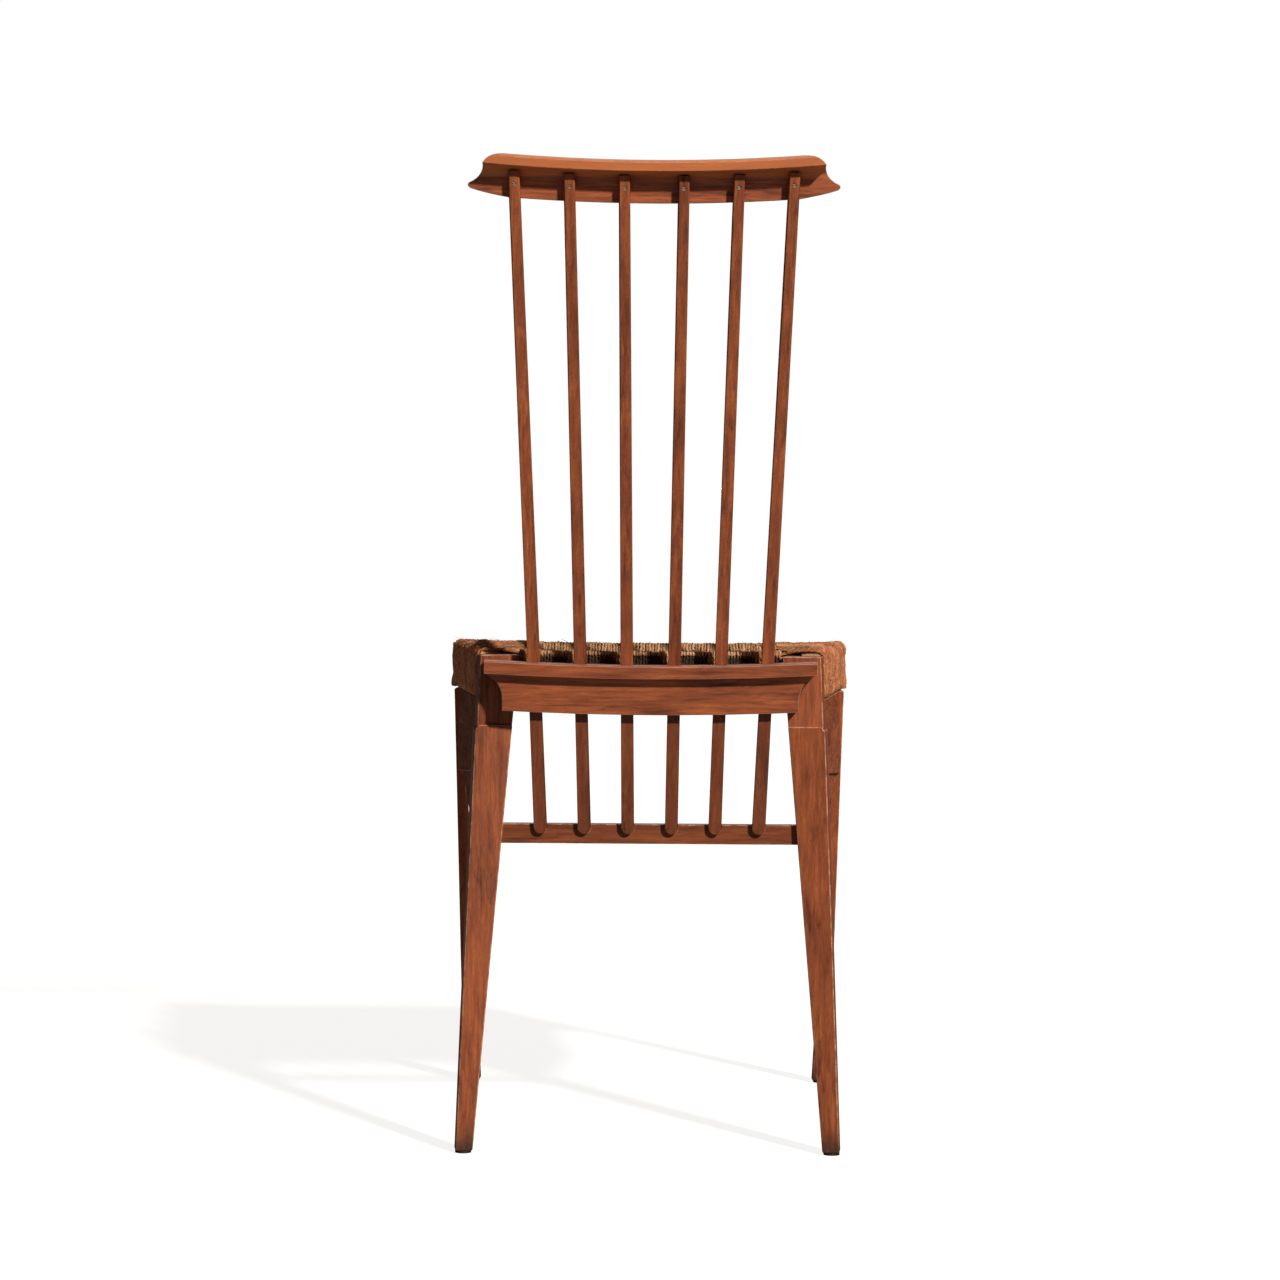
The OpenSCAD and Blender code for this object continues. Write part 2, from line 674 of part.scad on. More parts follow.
// Crest rail: a hollow moulding under a lip, with ends cut to a point
module crest_rail() {
    top = crest_low + crest_h;
    lip_low = top - crest_lip_h;
    cove_low = crest_low + crest_band;
    section = concat(
        [[crest_ease - crest_t, crest_low], [0, crest_low], [0, cove_low]],
        curve([0, cove_low + crest_edge], [crest_edge / 2, lip_low - crest_edge], [crest_lip - crest_ease, lip_low], 10),
        [[crest_lip, lip_low + crest_edge], [crest_lip, top - crest_edge]],
        curve([crest_lip - crest_edge, top], [0, top + 2 * crest_crown], [crest_ease - crest_t, top], 8),
        [[-crest_t, top - crest_ease], [-crest_t, crest_low + crest_ease]]
    );
    half = crest_w / 2;
    lip_half = crest_lip_w / 2;
    flare = half - lip_half;
    corner = 2 * crest_lip_h;
    lip_end = lip_low + rise(lip_half, crest_r);
    tip = crest_low + crest_tip;
    right_end = concat(
        [[lip_half - corner, top + far / 4]],
        curve([lip_half - corner, top + rise(lip_half - corner, crest_r) + crest_crown],
            [lip_half - corner / 4, lip_end + crest_lip_h], [lip_half, lip_end + crest_edge], 8),
        curve([lip_half, lip_end], [lip_half + crest_blunt / 2, tip + flare / 2], [half - crest_blunt / 2, tip + crest_blunt], 10),
        [[half, tip + crest_blunt / 4], [half, tip - crest_blunt / 2]],
        curve([half - crest_blunt, tip - 1.5 * crest_blunt], [half - flare, tip - flare / 2],
            [half - crest_point, crest_low + rise(half - crest_point, crest_r)], 10),
        [[half - crest_point, crest_low - far / 4]]
    );
    left_end = [for (i = [len(right_end) - 1 : -1 : 0]) [-right_end[i][0], right_end[i][1]]];
    color(wood) back_frame() difference() {
        intersection() {
            smile(section, crest_r, crest_low, crest_w);
            along_y(concat(right_end, left_end));
        }
        for (k = [1 : 6]) spindle_blank(k, fit);
        for (k = [1 : 6]) screw_hole(k);
    }
}

rear_leg();  // rear_leg_left
mirror([1, 0, 0]) rear_leg();  // rear_leg_right
front_leg();  // front_leg_left
mirror([1, 0, 0]) front_leg();  // front_leg_right
side_rail();  // side_rail_left
mirror([1, 0, 0]) side_rail();  // side_rail_right
front_rail();
back_seat_rail();
side_apron();  // side_apron_left
mirror([1, 0, 0]) side_apron();  // side_apron_right
straw_seat();
color(beech) stuffing_shape();  // seat_stuffing
back_rail();
cross_stretcher();
crest_rail();
spindle(1);  // spindle_1
spindle(2);  // spindle_2
spindle(3);  // spindle_3
spindle(4);  // spindle_4
spindle(5);  // spindle_5
spindle(6);  // spindle_6
crest_screws();
color(beech) both_sides() left_dowels();  // frame_dowels
color(rubber) rear_glide_place() glide_shape();  // rear_glide_left
color(rubber) mirror([1, 0, 0]) rear_glide_place() glide_shape();  // rear_glide_right
color(rubber) front_glide_place() glide_shape();  // front_glide_left
color(rubber) mirror([1, 0, 0]) front_glide_place() glide_shape();  // front_glide_right
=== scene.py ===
import math

import bmesh
import bpy
import numpy as np
from mathutils import Matrix, Vector


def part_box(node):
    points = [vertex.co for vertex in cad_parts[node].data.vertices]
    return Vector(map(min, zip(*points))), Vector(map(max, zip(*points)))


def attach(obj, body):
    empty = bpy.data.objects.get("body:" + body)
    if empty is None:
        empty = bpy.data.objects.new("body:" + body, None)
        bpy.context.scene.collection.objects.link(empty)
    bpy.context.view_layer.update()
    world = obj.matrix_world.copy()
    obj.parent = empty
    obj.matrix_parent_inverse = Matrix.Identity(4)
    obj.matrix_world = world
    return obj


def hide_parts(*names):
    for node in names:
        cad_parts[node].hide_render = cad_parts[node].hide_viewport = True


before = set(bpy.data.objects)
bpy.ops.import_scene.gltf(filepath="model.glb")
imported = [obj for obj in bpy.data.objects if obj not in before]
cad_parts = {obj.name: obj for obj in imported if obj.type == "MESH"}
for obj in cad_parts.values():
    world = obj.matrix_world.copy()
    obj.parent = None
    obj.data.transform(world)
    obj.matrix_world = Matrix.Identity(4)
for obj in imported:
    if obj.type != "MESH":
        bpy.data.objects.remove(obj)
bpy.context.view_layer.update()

scene = bpy.context.scene

# Camera
# It stands behind the chair at mid height, looks forward and a little down, and has a long lens.
# Its turns are in degrees.
CAMERA_PLACE = (0.0119, 3.2433, 0.5455)
CAMERA_YAW, CAMERA_DOWN, CAMERA_ROLL = 179.971, 1.036, 0.394
LENS_MM, SENSOR_MM = 90.0, 36.0
camera = bpy.data.objects.new("camera", bpy.data.cameras.new("camera"))
camera.data.lens = LENS_MM
camera.data.sensor_width = SENSOR_MM
camera.location = CAMERA_PLACE
camera_turn = (Matrix.Rotation(math.radians(CAMERA_YAW), 3, "Z")
               @ Matrix.Rotation(math.radians(90 - CAMERA_DOWN), 3, "X")
               @ Matrix.Rotation(math.radians(CAMERA_ROLL), 3, "Z"))
camera.rotation_euler = camera_turn.to_euler()
scene.collection.objects.link(camera)
scene.camera = camera
scene.view_settings.view_transform = "Standard"

# Studio
# One lamp stands high on the camera's right. A dim room fills the shadows, darkest on the left, and a
# white backdrop behind the chair, a little wider than it, shows in its gloss. The floor is white.
SUN_TRAVEL = Vector((0.63, -1.0, -0.73))
SUN_STRENGTH, SUN_DEGREES, SUN_COLOUR = 3.35, 4.0, (1.0, 0.97, 0.93)
ROOM_LIGHT, ROOM_FRONT, ROOM_LEFT, ROOM_BEHIND = 0.17, 0.6, 0.14, 0.5
BACKDROP_GLOSS, CEILING_GLOSS, DIM_GLOSS = 1.0, 0.5, 0.02
# Where each side of the room begins and ends, as X, Y or Z of a direction of length 1
LEFT_WALL, BEHIND_WALL, FRONT_WALL = (-0.05, 0.3), (-0.2, 0.5), (-1.0, -0.4)
BACKDROP_EDGE, BACKDROP_WALL, CEILING = (0.07, 0.12), (-0.7, -0.3), (0.2, 0.8)
FLOOR_HALF = 12.0
FLOOR_WHITE, FLOOR_ROUGH, FLOOR_GLOW, FLOOR_TINT = 0.36, 0.9, 0.87, (1, 0.985, 0.965, 1)
FLOOR_GLOSS, FLOOR_GLOSS_DROP = 0.06, 0.3


def feed(tree, value, socket):
    """Links another node's output to the socket, or sets a plain value on it."""
    if isinstance(value, bpy.types.NodeSocket):
        tree.links.new(value, socket)
    else:
        socket.default_value = value


def math_node(tree, operation, first, second=None, third=None, clamp=False):
    """A Math node on one, two or three outputs or plain numbers."""
    node = tree.nodes.new("ShaderNodeMath")
    node.operation = operation
    node.use_clamp = clamp
    for slot, value in enumerate((first, second, third)):
        if value is not None:
            feed(tree, value, node.inputs[slot])
    return node.outputs[0]


def eased_step(tree, value, low, high, start=0.0, end=1.0):
    """Goes smoothly from start to end while the value goes from low to high."""
    node = tree.nodes.new("ShaderNodeMapRange")
    node.interpolation_type = "SMOOTHSTEP"
    tree.links.new(value, node.inputs["Value"])
    for socket, number in (("From Min", low), ("From Max", high), ("To Min", start), ("To Max", end)):
        feed(tree, number, node.inputs[socket])
    return node.outputs[0]


def sides_of(tree, vector):
    """The X, Y and Z of a place or direction."""
    node = tree.nodes.new("ShaderNodeSeparateXYZ")
    tree.links.new(vector, node.inputs[0])
    return node.outputs["X"], node.outputs["Y"], node.outputs["Z"]


def ray_kinds(tree):
    """1 for glossy rays, and 1 for rays that come straight from the camera or through glass."""
    path = tree.nodes.new("ShaderNodeLightPath")
    clear = math_node(tree, "MAXIMUM", path.outputs["Is Camera Ray"], path.outputs["Is Transmission Ray"])
    return path.outputs["Is Glossy Ray"], clear


sun = bpy.data.objects.new("lamp", bpy.data.lights.new("lamp", "SUN"))
sun.data.energy = SUN_STRENGTH
sun.data.angle = math.radians(SUN_DEGREES)
sun.data.color = SUN_COLOUR
sun.rotation_euler = SUN_TRAVEL.to_track_quat("-Z", "Y").to_euler()
scene.collection.objects.link(sun)

world = bpy.data.worlds.new("white_room")
scene.world = world
world.use_nodes = True
tree = world.node_tree
way_x, way_y, way_z = sides_of(tree, tree.nodes.new("ShaderNodeTexCoord").outputs["Generated"])
dim_left = eased_step(tree, way_x, *LEFT_WALL, 1.0, ROOM_LEFT)
dim_behind = eased_step(tree, way_y, *BEHIND_WALL, 1.0, ROOM_BEHIND)
front = eased_step(tree, way_y, *FRONT_WALL, ROOM_FRONT, ROOM_LIGHT)
room = math_node(tree, "MULTIPLY", math_node(tree, "MULTIPLY", dim_left, dim_behind), front)
beside = eased_step(tree, math_node(tree, "ABSOLUTE", way_x), *BACKDROP_EDGE, BACKDROP_GLOSS, DIM_GLOSS)
backdrop = math_node(tree, "MULTIPLY", beside, eased_step(tree, way_y, *BACKDROP_WALL, 1.0, DIM_GLOSS))
ceiling = math_node(tree, "MULTIPLY", eased_step(tree, way_z, *CEILING, 0.0, CEILING_GLOSS), dim_left)
glossy, clear = ray_kinds(tree)
level = tree.nodes.new("ShaderNodeMix")
tree.links.new(glossy, level.inputs["Factor"])
tree.links.new(room, level.inputs["A"])
tree.links.new(math_node(tree, "MAXIMUM", backdrop, ceiling), level.inputs["B"])
strength = math_node(tree, "MAXIMUM", level.outputs["Result"], clear)
tree.links.new(strength, tree.nodes["Background"].inputs["Strength"])
tree.nodes["Background"].inputs["Color"].default_value = (1, 1, 1, 1)

floor_mesh = bpy.data.meshes.new("floor")
floor_corners = [(FLOOR_HALF * x, FLOOR_HALF * y, 0) for x, y in ((-1, -1), (1, -1), (1, 1), (-1, 1))]
floor_mesh.from_pydata(floor_corners, [], [(0, 1, 2, 3)])
floor = bpy.data.objects.new("floor", floor_mesh)
scene.collection.objects.link(floor)
floor_paint = bpy.data.materials.new("white_floor")
floor_paint.use_nodes = True
tree = floor_paint.node_tree
shader = tree.nodes["Principled BSDF"]
shader.inputs["Roughness"].default_value = FLOOR_ROUGH
shader.inputs["Specular IOR Level"].default_value = 0.0
shader.inputs["Emission Color"].default_value = FLOOR_TINT
glossy, clear = ray_kinds(tree)
white = math_node(tree, "MULTIPLY_ADD", glossy, -FLOOR_GLOSS_DROP, FLOOR_WHITE)
tree.links.new(white, shader.inputs["Base Color"])
clear = math_node(tree, "MULTIPLY_ADD", glossy, FLOOR_GLOSS, clear)
tree.links.new(math_node(tree, "MULTIPLY", clear, FLOOR_GLOW), shader.inputs["Emission Strength"])
floor_mesh.materials.append(floor_paint)

# Rear legs
# Solid reddish brown wood, tapered on all sides, with eased arrises and a satin varnish. Each carries
# the back rail in a step cut into its head, and is doweled to the seat's frame.
JOIN_WITHIN = 0.00001
FLAT_DEGREES, ARRIS_DEGREES = 0.6, 28
HOLE_SIZE = 0.012
ROUND_STEPS, NARROW_WORN = 3, 0.25
REAR_LEG_ROUND = 0.0014


def hole_rims(edges):
    """The edges of small closed rims, such as screw and dowel holes, found as groups of joined edges."""
    chosen, seen, rims = set(edges), set(), set()
    for edge in edges:
        if edge in seen:
            continue
        group, waiting = [], [edge]
        seen.add(edge)
        while waiting:
            here = waiting.pop()
            group.append(here)
            for vert in here.verts:
                for other in vert.link_edges:
                    if other in chosen and other not in seen:
                        seen.add(other)
                        waiting.append(other)
        places = np.array([vert.co[:] for item in group for vert in item.verts])
        if np.ptp(places, axis=0).max() < HOLE_SIZE:
            rims.update(group)
    return rims


def eased_copy(node, name, width, hollows=False, wide_width=0.0, wide=None):
    """A copy of a CAD piece with its flat faces rejoined and its arrises rounded over by width.

    Its inner corners are rounded too where hollows is true. Where wide is true of the middle of an
    arris, that arris is rounded by wide_width instead. The attribute worn is 1 in the middle of each
    rounding and 0 beside it, but only NARROW_WORN on the narrow roundings of a piece with wide ones.
    """
    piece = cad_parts[node].copy()
    piece.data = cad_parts[node].data.copy()
    piece.name = name
    piece.data.name = name
    piece.parent = None
    for key in list(piece.keys()):
        del piece[key]
    piece.matrix_world = Matrix.Identity(4)
    scene.collection.objects.link(piece)
    mesh = bmesh.new()
    mesh.from_mesh(piece.data)
    bmesh.ops.remove_doubles(mesh, verts=mesh.verts, dist=JOIN_WITHIN)
    flat = math.radians(FLAT_DEGREES)
    bmesh.ops.dissolve_limit(mesh, angle_limit=flat, verts=mesh.verts, edges=mesh.edges)
    rounded = {}
    narrow_share = NARROW_WORN if wide else 1.0
    for size, share, chosen in ((wide_width, 1.0, wide), (width, narrow_share, lambda middle: True)):
        sharp = [edge for edge in mesh.edges
                 if len(edge.link_faces) == 2 and edge.calc_face_angle() > math.radians(ARRIS_DEGREES)]
        rims = hole_rims(sharp)
        arrises = [edge for edge in sharp if chosen and edge not in rims and (hollows or edge.is_convex)
                   and chosen((edge.verts[0].co + edge.verts[1].co) / 2)]
        if arrises:
            made = bmesh.ops.bevel(mesh, geom=arrises, offset=size, offset_type="OFFSET",
                                   segments=ROUND_STEPS, profile=0.5, affect="EDGES",
                                   clamp_overlap=False)
            rounded.update(dict.fromkeys(made["faces"], share))
    worn = mesh.verts.layers.float.new("worn")
    for vert in mesh.verts:
        vert[worn] = min(rounded.get(face, 0.0) for face in vert.link_faces)
    for face in mesh.faces:
        face.smooth = True
    mesh.to_mesh(piece.data)
    mesh.free()
    piece.modifiers.new("even", "WEIGHTED_NORMAL")
    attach(piece, "root")
    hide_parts(node)
    return piece


def linear(red, green, blue):
    """A colour written in 0 to 255 steps, as the shader's linear values: ((c + 0.055) / 1.055) ** 2.4."""
    scaled = np.array([red, green, blue]) / 255
    low = scaled / 12.92
    high = ((scaled + 0.055) / 1.055) ** 2.4
    return (*np.where(scaled <= 0.04045, low, high).tolist(), 1.0)


WOOD_TONES = (linear(90, 46, 29), linear(152, 79, 46), linear(202, 112, 60))
WOOD_PORE, WOOD_WORN, WOOD_GRIME = linear(62, 32, 22), linear(216, 158, 118), linear(56, 42, 34)
# The colour for painted light on the top of a piece that faces the lamp.
WOOD_PAINTED_LIGHT = linear(236, 138, 78)
DARK_AT, MIDDLE_AT, LIGHT_AT = 0.12, 0.5, 0.95
ALONG = {"x": (0, math.pi / 2, 0), "y": (math.pi / 2, 0, 0), "z": (0, 0, 0)}
# Growth rings: how many a metre, how they slant, sway and wander, where they end, show and darken
RINGS, RING_SLANT, RING_SWAY, RING_WANDER = 90.0, 0.7, 0.07, 2.2
RING_END, RING_SHOWS, RING_DARK = (0.8, 1.0), (0.4, 0.65), 0.3
STREAK_SHARE, CLOUD_SHARE, FIBRE_SHARE, PORE_SHARE, PORE_FROM = 0.95, 0.65, 0.55, 0.45, (0.62, 0.74)
# Noises: how fast they change along the grain as a share of the way across, then cycles per metre,
# detail, roughness and distortion
SWAY, WANDER, SHOWS = (0.3, 22, 3, 0.5), (0.12, 130, 2, 0.5), (0.35, 30, 2, 0.5)
STREAKS, CLOUD = (0.07, 260, 5, 0.6, 0.6), (0.17, 60, 3, 0.55, 0.5)
FIBRES, DASHES = (0.03, 2600, 3, 0.65), (0.06, 2400, 1, 0.4)
# Wear and dirt, whose noises are the same along the grain and across it
WEAR_PATCHES, WEAR_STEP, WEAR = (90, 3, 0.6), (0.38, 0.62), (0.08, 0.8)
GRIME_EDGE, GRIME_UNEVEN, GRIME_STEP, GRIME_SHARE = (120, 3, 0.6), 0.02, (-0.008, 0.022), 0.85
LIT_FROM_BLEND, LIT_FROM_SHARE, DIM_BLEND, DIM_SHARE = 0.004, 0.5, 0.02, 0.5
SATIN_SHINE, SATIN_ROUGH, FIBRE_ROUGH, WORN_SMOOTH = 0.4, 0.26, 0.2, 0.08
PORE_BUMP, PORE_DEPTH, FIBRE_HEIGHT = 0.3, 0.00012, 0.4


def new_group(name, inputs, outputs):
    """An empty node group with the named inputs and outputs, and the sockets at its two ends."""
    group = bpy.data.node_groups.new(name, "ShaderNodeTree")
    for label, kind in inputs.items():
        group.interface.new_socket(label, in_out="INPUT", socket_type=f"NodeSocket{kind}")
    for label, kind in outputs.items():
        group.interface.new_socket(label, in_out="OUTPUT", socket_type=f"NodeSocket{kind}")
    start, end = group.nodes.new("NodeGroupInput"), group.nodes.new("NodeGroupOutput")
    return group, start.outputs, end.inputs


def placed_group(tree, group, **values):
    """The outputs of a group placed in a material, with its inputs linked or set to plain values."""
    node = tree.nodes.new("ShaderNodeGroup")
    node.node_tree = group
    for label, value in values.items():
        feed(tree, value, node.inputs[label])
    return node.outputs


def noise(tree, vector, scale, detail=2.0, rough=0.5, distortion=0.0):
    """Soft random values round 0.5, with scale in cycles per metre."""
    node = tree.nodes.new("ShaderNodeTexNoise")
    tree.links.new(vector, node.inputs["Vector"])
    node.inputs["Scale"].default_value = scale
    node.inputs["Detail"].default_value = detail
    node.inputs["Roughness"].default_value = rough
    node.inputs["Distortion"].default_value = distortion
    return node.outputs["Fac"]


def stretched(tree, vector, x, y, z):
    """The place, with its three sides multiplied by x, y and z."""
    node = tree.nodes.new("ShaderNodeVectorMath")
    node.operation = "MULTIPLY"
    tree.links.new(vector, node.inputs[0])
    node.inputs[1].default_value = (x, y, z)
    return node.outputs[0]


def mixed(tree, share, first, second):
    """The first colour where share is 0 and the second where it is 1; either is an output or a value."""
    node = tree.nodes.new("ShaderNodeMix")
    node.data_type = "RGBA"
    tree.links.new(share, node.inputs["Factor"])
    feed(tree, first, node.inputs["A"])
    feed(tree, second, node.inputs["B"])
    return node.outputs["Result"]


def blended(tree, parts, base):
    """The base tone plus each part's distance from 0.5 times its share."""
    for part, share in parts:
        base = math_node(tree, "MULTIPLY_ADD", math_node(tree, "SUBTRACT", part, 0.5), share, base)
    return base


def tone_ramp(tree, tone, colours, dark_at, light_at):
    """The dark, middle and light colours along the tone, the middle one at MIDDLE_AT."""
    ramp = tree.nodes.new("ShaderNodeValToRGB")
    dark, light = ramp.color_ramp.elements
    dark.position, dark.color = dark_at, colours[0]
    light.position, light.color = light_at, colours[2]
    ramp.color_ramp.elements.new(MIDDLE_AT).color = colours[1]
    tree.links.new(tone, ramp.inputs["Fac"])
    return ramp.outputs["Color"]


def make_wood_figure():
    """Uneven growth rings that fade in and out, soft streaks, fine fibres and pores, drawn out along z.

    A ring's tone is the square of its phase, less a quick return at its end. The phase is the fraction
    of the way across times RINGS, bent by two noises.
    """
    group, start, end = new_group("wood_figure", {"Place": "Vector"},
                                  {"Tone": "Float", "Fibres": "Float", "Pores": "Float"})
    place = start["Place"]

    def drawn(share, *pattern):
        """Noise that changes only share times as fast along z as it does across."""
        return noise(group, stretched(group, place, 1, 1, share), *pattern)

    x, y, _ = sides_of(group, place)
    across = math_node(group, "MULTIPLY_ADD", y, RING_SLANT, x)
    across = math_node(group, "MULTIPLY_ADD", drawn(*SWAY), RING_SWAY, across)
    turns = math_node(group, "MULTIPLY", across, RINGS)
    phase = math_node(group, "MULTIPLY_ADD", drawn(*WANDER), RING_WANDER, turns)
    phase = math_node(group, "FRACT", phase)
    rings = math_node(group, "SUBTRACT", math_node(group, "POWER", phase, 2.0),
                      eased_step(group, phase, *RING_END))
    shows = eased_step(group, drawn(*SHOWS), *RING_SHOWS)
    fibres = drawn(*FIBRES)
    tone = math_node(group, "MULTIPLY", math_node(group, "MULTIPLY", rings, shows), -RING_DARK)
    tone = blended(group, ((drawn(*STREAKS), STREAK_SHARE), (drawn(*CLOUD), CLOUD_SHARE),
                           (fibres, FIBRE_SHARE)), tone)
    group.links.new(math_node(group, "ADD", tone, 0.5, clamp=True), end["Tone"])
    group.links.new(fibres, end["Fibres"])
    group.links.new(eased_step(group, drawn(*DASHES), *PORE_FROM), end["Pores"])
    return group


def make_edge_wear():
    """Wood rubbed to the colour Worn in patches of its arrises, each by a share from Least to Most."""
    group, start, end = new_group(
        "edge_wear",
        {"Place": "Vector", "Edge": "Float", "Wood": "Color", "Worn": "Color", "Least": "Float",
         "Most": "Float"},
        {"Wood": "Color", "Rubbed": "Float"})
    patches = eased_step(group, noise(group, start["Place"], *WEAR_PATCHES), *WEAR_STEP,
                         start["Least"], start["Most"])
    rubbed = math_node(group, "MULTIPLY", start["Edge"], patches)
    group.links.new(mixed(group, rubbed, start["Wood"], start["Worn"]), end["Wood"])
    group.links.new(rubbed, end["Rubbed"])
    return group


def make_height_blend():
    """Wood turned to another colour, by Start below the height Low and by End above the height High."""
    group, start, end = new_group(
        "height_blend",
        {"Height": "Float", "Wood": "Color", "Other": "Color", "Low": "Float", "High": "Float",
         "Start": "Float", "End": "Float"},
        {"Wood": "Color"})
    share = eased_step(group, start["Height"], start["Low"], start["High"], start["Start"], start["End"])
    group.links.new(mixed(group, share, start["Wood"], start["Other"]), end["Wood"])
    return group


wood_figure, edge_wear, height_blend = make_wood_figure(), make_edge_wear(), make_height_blend()


def started_finish(name):
    """A new material, its node tree, its shader, and the place on the piece."""
    material = bpy.data.materials.new(name)
    material.use_nodes = True
    tree = material.node_tree
    place = tree.nodes.new("ShaderNodeTexCoord").outputs["Object"]
    return material, tree, tree.nodes["Principled BSDF"], place


def attribute(tree, name):
    """The value of the piece's own attribute."""
    node = tree.nodes.new("ShaderNodeAttribute")
    node.attribute_name = name
    return node.outputs["Fac"]


def bumped(tree, shader, height, strength, depth):
    """Bumps the shader's surface by the height, up to depth in metres, times strength."""
    bump = tree.nodes.new("ShaderNodeBump")
    bump.inputs["Strength"].default_value = strength
    bump.inputs["Distance"].default_value = depth
    tree.links.new(height, bump.inputs["Height"])
    tree.links.new(bump.outputs["Normal"], shader.inputs["Normal"])


def toned(share):
    """The wood's dark, middle and light colours, each multiplied by share."""
    return [(*(share * channel for channel in tone[:3]), 1.0) for tone in WOOD_TONES]


def wood_finish(name, along, offset, colours=WOOD_TONES, worn=WOOD_WORN, wear=WEAR, grimy=False,
                shine=SATIN_SHINE, rough=SATIN_ROUGH, lit_from=None, dim=None):
    """Varnished wood whose fibres run along x, y or z, paler where its arrises are worn.

    Offset picks the part of the plank, and wear gives the least and the most that an arris is worn.
    Grimy wood is darker in its lowest three centimetres. Above the height given for painted light, the wood
    is painted lighter as if lit from above, and below the height dim it is darker.
    """
    material, tree, shader, source = started_finish(name)
    plank = tree.nodes.new("ShaderNodeMapping")
    plank.inputs["Rotation"].default_value = ALONG[along]
    plank.inputs["Location"].default_value = offset
    tree.links.new(source, plank.inputs["Vector"])
    figure = placed_group(tree, wood_figure, Place=plank.outputs[0])
    wood = tone_ramp(tree, figure["Tone"], colours, DARK_AT, LIGHT_AT)
    wood = mixed(tree, math_node(tree, "MULTIPLY", figure["Pores"], PORE_SHARE), wood, WOOD_PORE)
    edges = placed_group(tree, edge_wear, Place=source, Edge=attribute(tree, "worn"), Wood=wood,
                         Worn=worn, Least=wear[0], Most=wear[1])
    wood = edges["Wood"]
    _, _, height = sides_of(tree, source)
    # Painted light: above the given height the wood is lightened as if lit from above.
    if lit_from:
        wood = placed_group(tree, height_blend, Height=height, Wood=wood, Other=WOOD_PAINTED_LIGHT, Low=lit_from,
                            High=lit_from + LIT_FROM_BLEND, Start=0.0, End=LIT_FROM_SHARE)["Wood"]
    if dim:
        wood = placed_group(tree, height_blend, Height=height, Wood=wood, Other=WOOD_TONES[0],
                            Low=dim - DIM_BLEND, High=dim, Start=DIM_SHARE, End=0.0)["Wood"]
    if grimy:
        uneven = math_node(tree, "MULTIPLY_ADD", noise(tree, source, *GRIME_EDGE), -GRIME_UNEVEN, height)
        wood = placed_group(tree, height_blend, Height=uneven, Wood=wood, Other=WOOD_GRIME,
                            Low=GRIME_STEP[0], High=GRIME_STEP[1], Start=GRIME_SHARE, End=0.0)["Wood"]
    tree.links.new(wood, shader.inputs["Base Color"])
    gloss = math_node(tree, "MULTIPLY_ADD", figure["Fibres"], FIBRE_ROUGH, rough)
    gloss = math_node(tree, "MULTIPLY_ADD", edges["Rubbed"], -WORN_SMOOTH, gloss)
    tree.links.new(gloss, shader.inputs["Roughness"])
    shader.inputs["Specular IOR Level"].default_value = shine
    raised = math_node(tree, "MULTIPLY", figure["Fibres"], FIBRE_HEIGHT)
    bumped(tree, shader, math_node(tree, "SUBTRACT", raised, figure["Pores"]), PORE_BUMP, PORE_DEPTH)
    return material


def dress(piece, material):
    """The piece takes one material."""
    piece.data.materials.clear()
    piece.data.materials.append(material)


for side, offset in (("left", (0.31, 0.12, 0.4)), ("right", (0.83, 0.37, 1.3))):
    leg = eased_copy(f"rear_leg_{side}", f"rear_leg_{side}_wood", REAR_LEG_ROUND)
    dress(leg, wood_finish(f"rear_leg_{side}_finish", "z", offset, grimy=True))

# Front legs
# Slender legs of the same wood, duller than the rear ones, that widen again above a narrow waist.
# Their posts stand inside the seat's corners, where the front and side rails are doweled to them.
FRONT_LEG_ROUND = 0.0011
FRONT_LEG_SHINE, DULL_ROUGH = 0.2, 0.56
for side, offset in (("left", (1.31, 0.52, 0.1)), ("right", (1.77, 0.93, 2.3))):
    leg = eased_copy(f"front_leg_{side}", f"front_leg_{side}_wood", FRONT_LEG_ROUND)
    finish = wood_finish(f"front_leg_{side}_finish", "z", offset, grimy=True, shine=FRONT_LEG_SHINE,
                         rough=DULL_ROUGH)
    dress(leg, finish)

# Seat frame
# Four plain rails of pale hardwood, doweled between the legs. The straw is wound over them and covers
# them on all sides.
BEECH = (linear(168, 128, 84), linear(198, 160, 112), linear(220, 188, 142))
frame_finish = wood_finish("frame_wood_finish", "x", (0.2, 3.1, 0.5), BEECH, BEECH[2])
side_frame_finish = wood_finish("side_frame_wood_finish", "y", (0.9, 2.1, 0.2), BEECH, BEECH[2])
for node in ("front_rail", "back_seat_rail", "frame_dowels"):
    dress(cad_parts[node], frame_finish)
for node in ("side_rail_left", "side_rail_right"):
    dress(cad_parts[node], side_frame_finish)

# Side aprons
# Boards of the legs' wood, doweled between front and rear legs under the straw. A proud upper band is
# moulded over a thinner one, whose lower edge sweeps up towards the front.
APRON_ROUND, APRON_SHINE = 0.0009, 0.15
for side, offset in (("left", (2.31, 0.42, 0.9)), ("right", (2.77, 0.13, 1.7))):
    apron = eased_copy(f"side_apron_{side}", f"side_apron_{side}_wood", APRON_ROUND, hollows=True)
    finish = wood_finish(f"side_apron_{side}_finish", "y", offset, shine=APRON_SHINE, rough=DULL_ROUGH)
    dress(apron, finish)

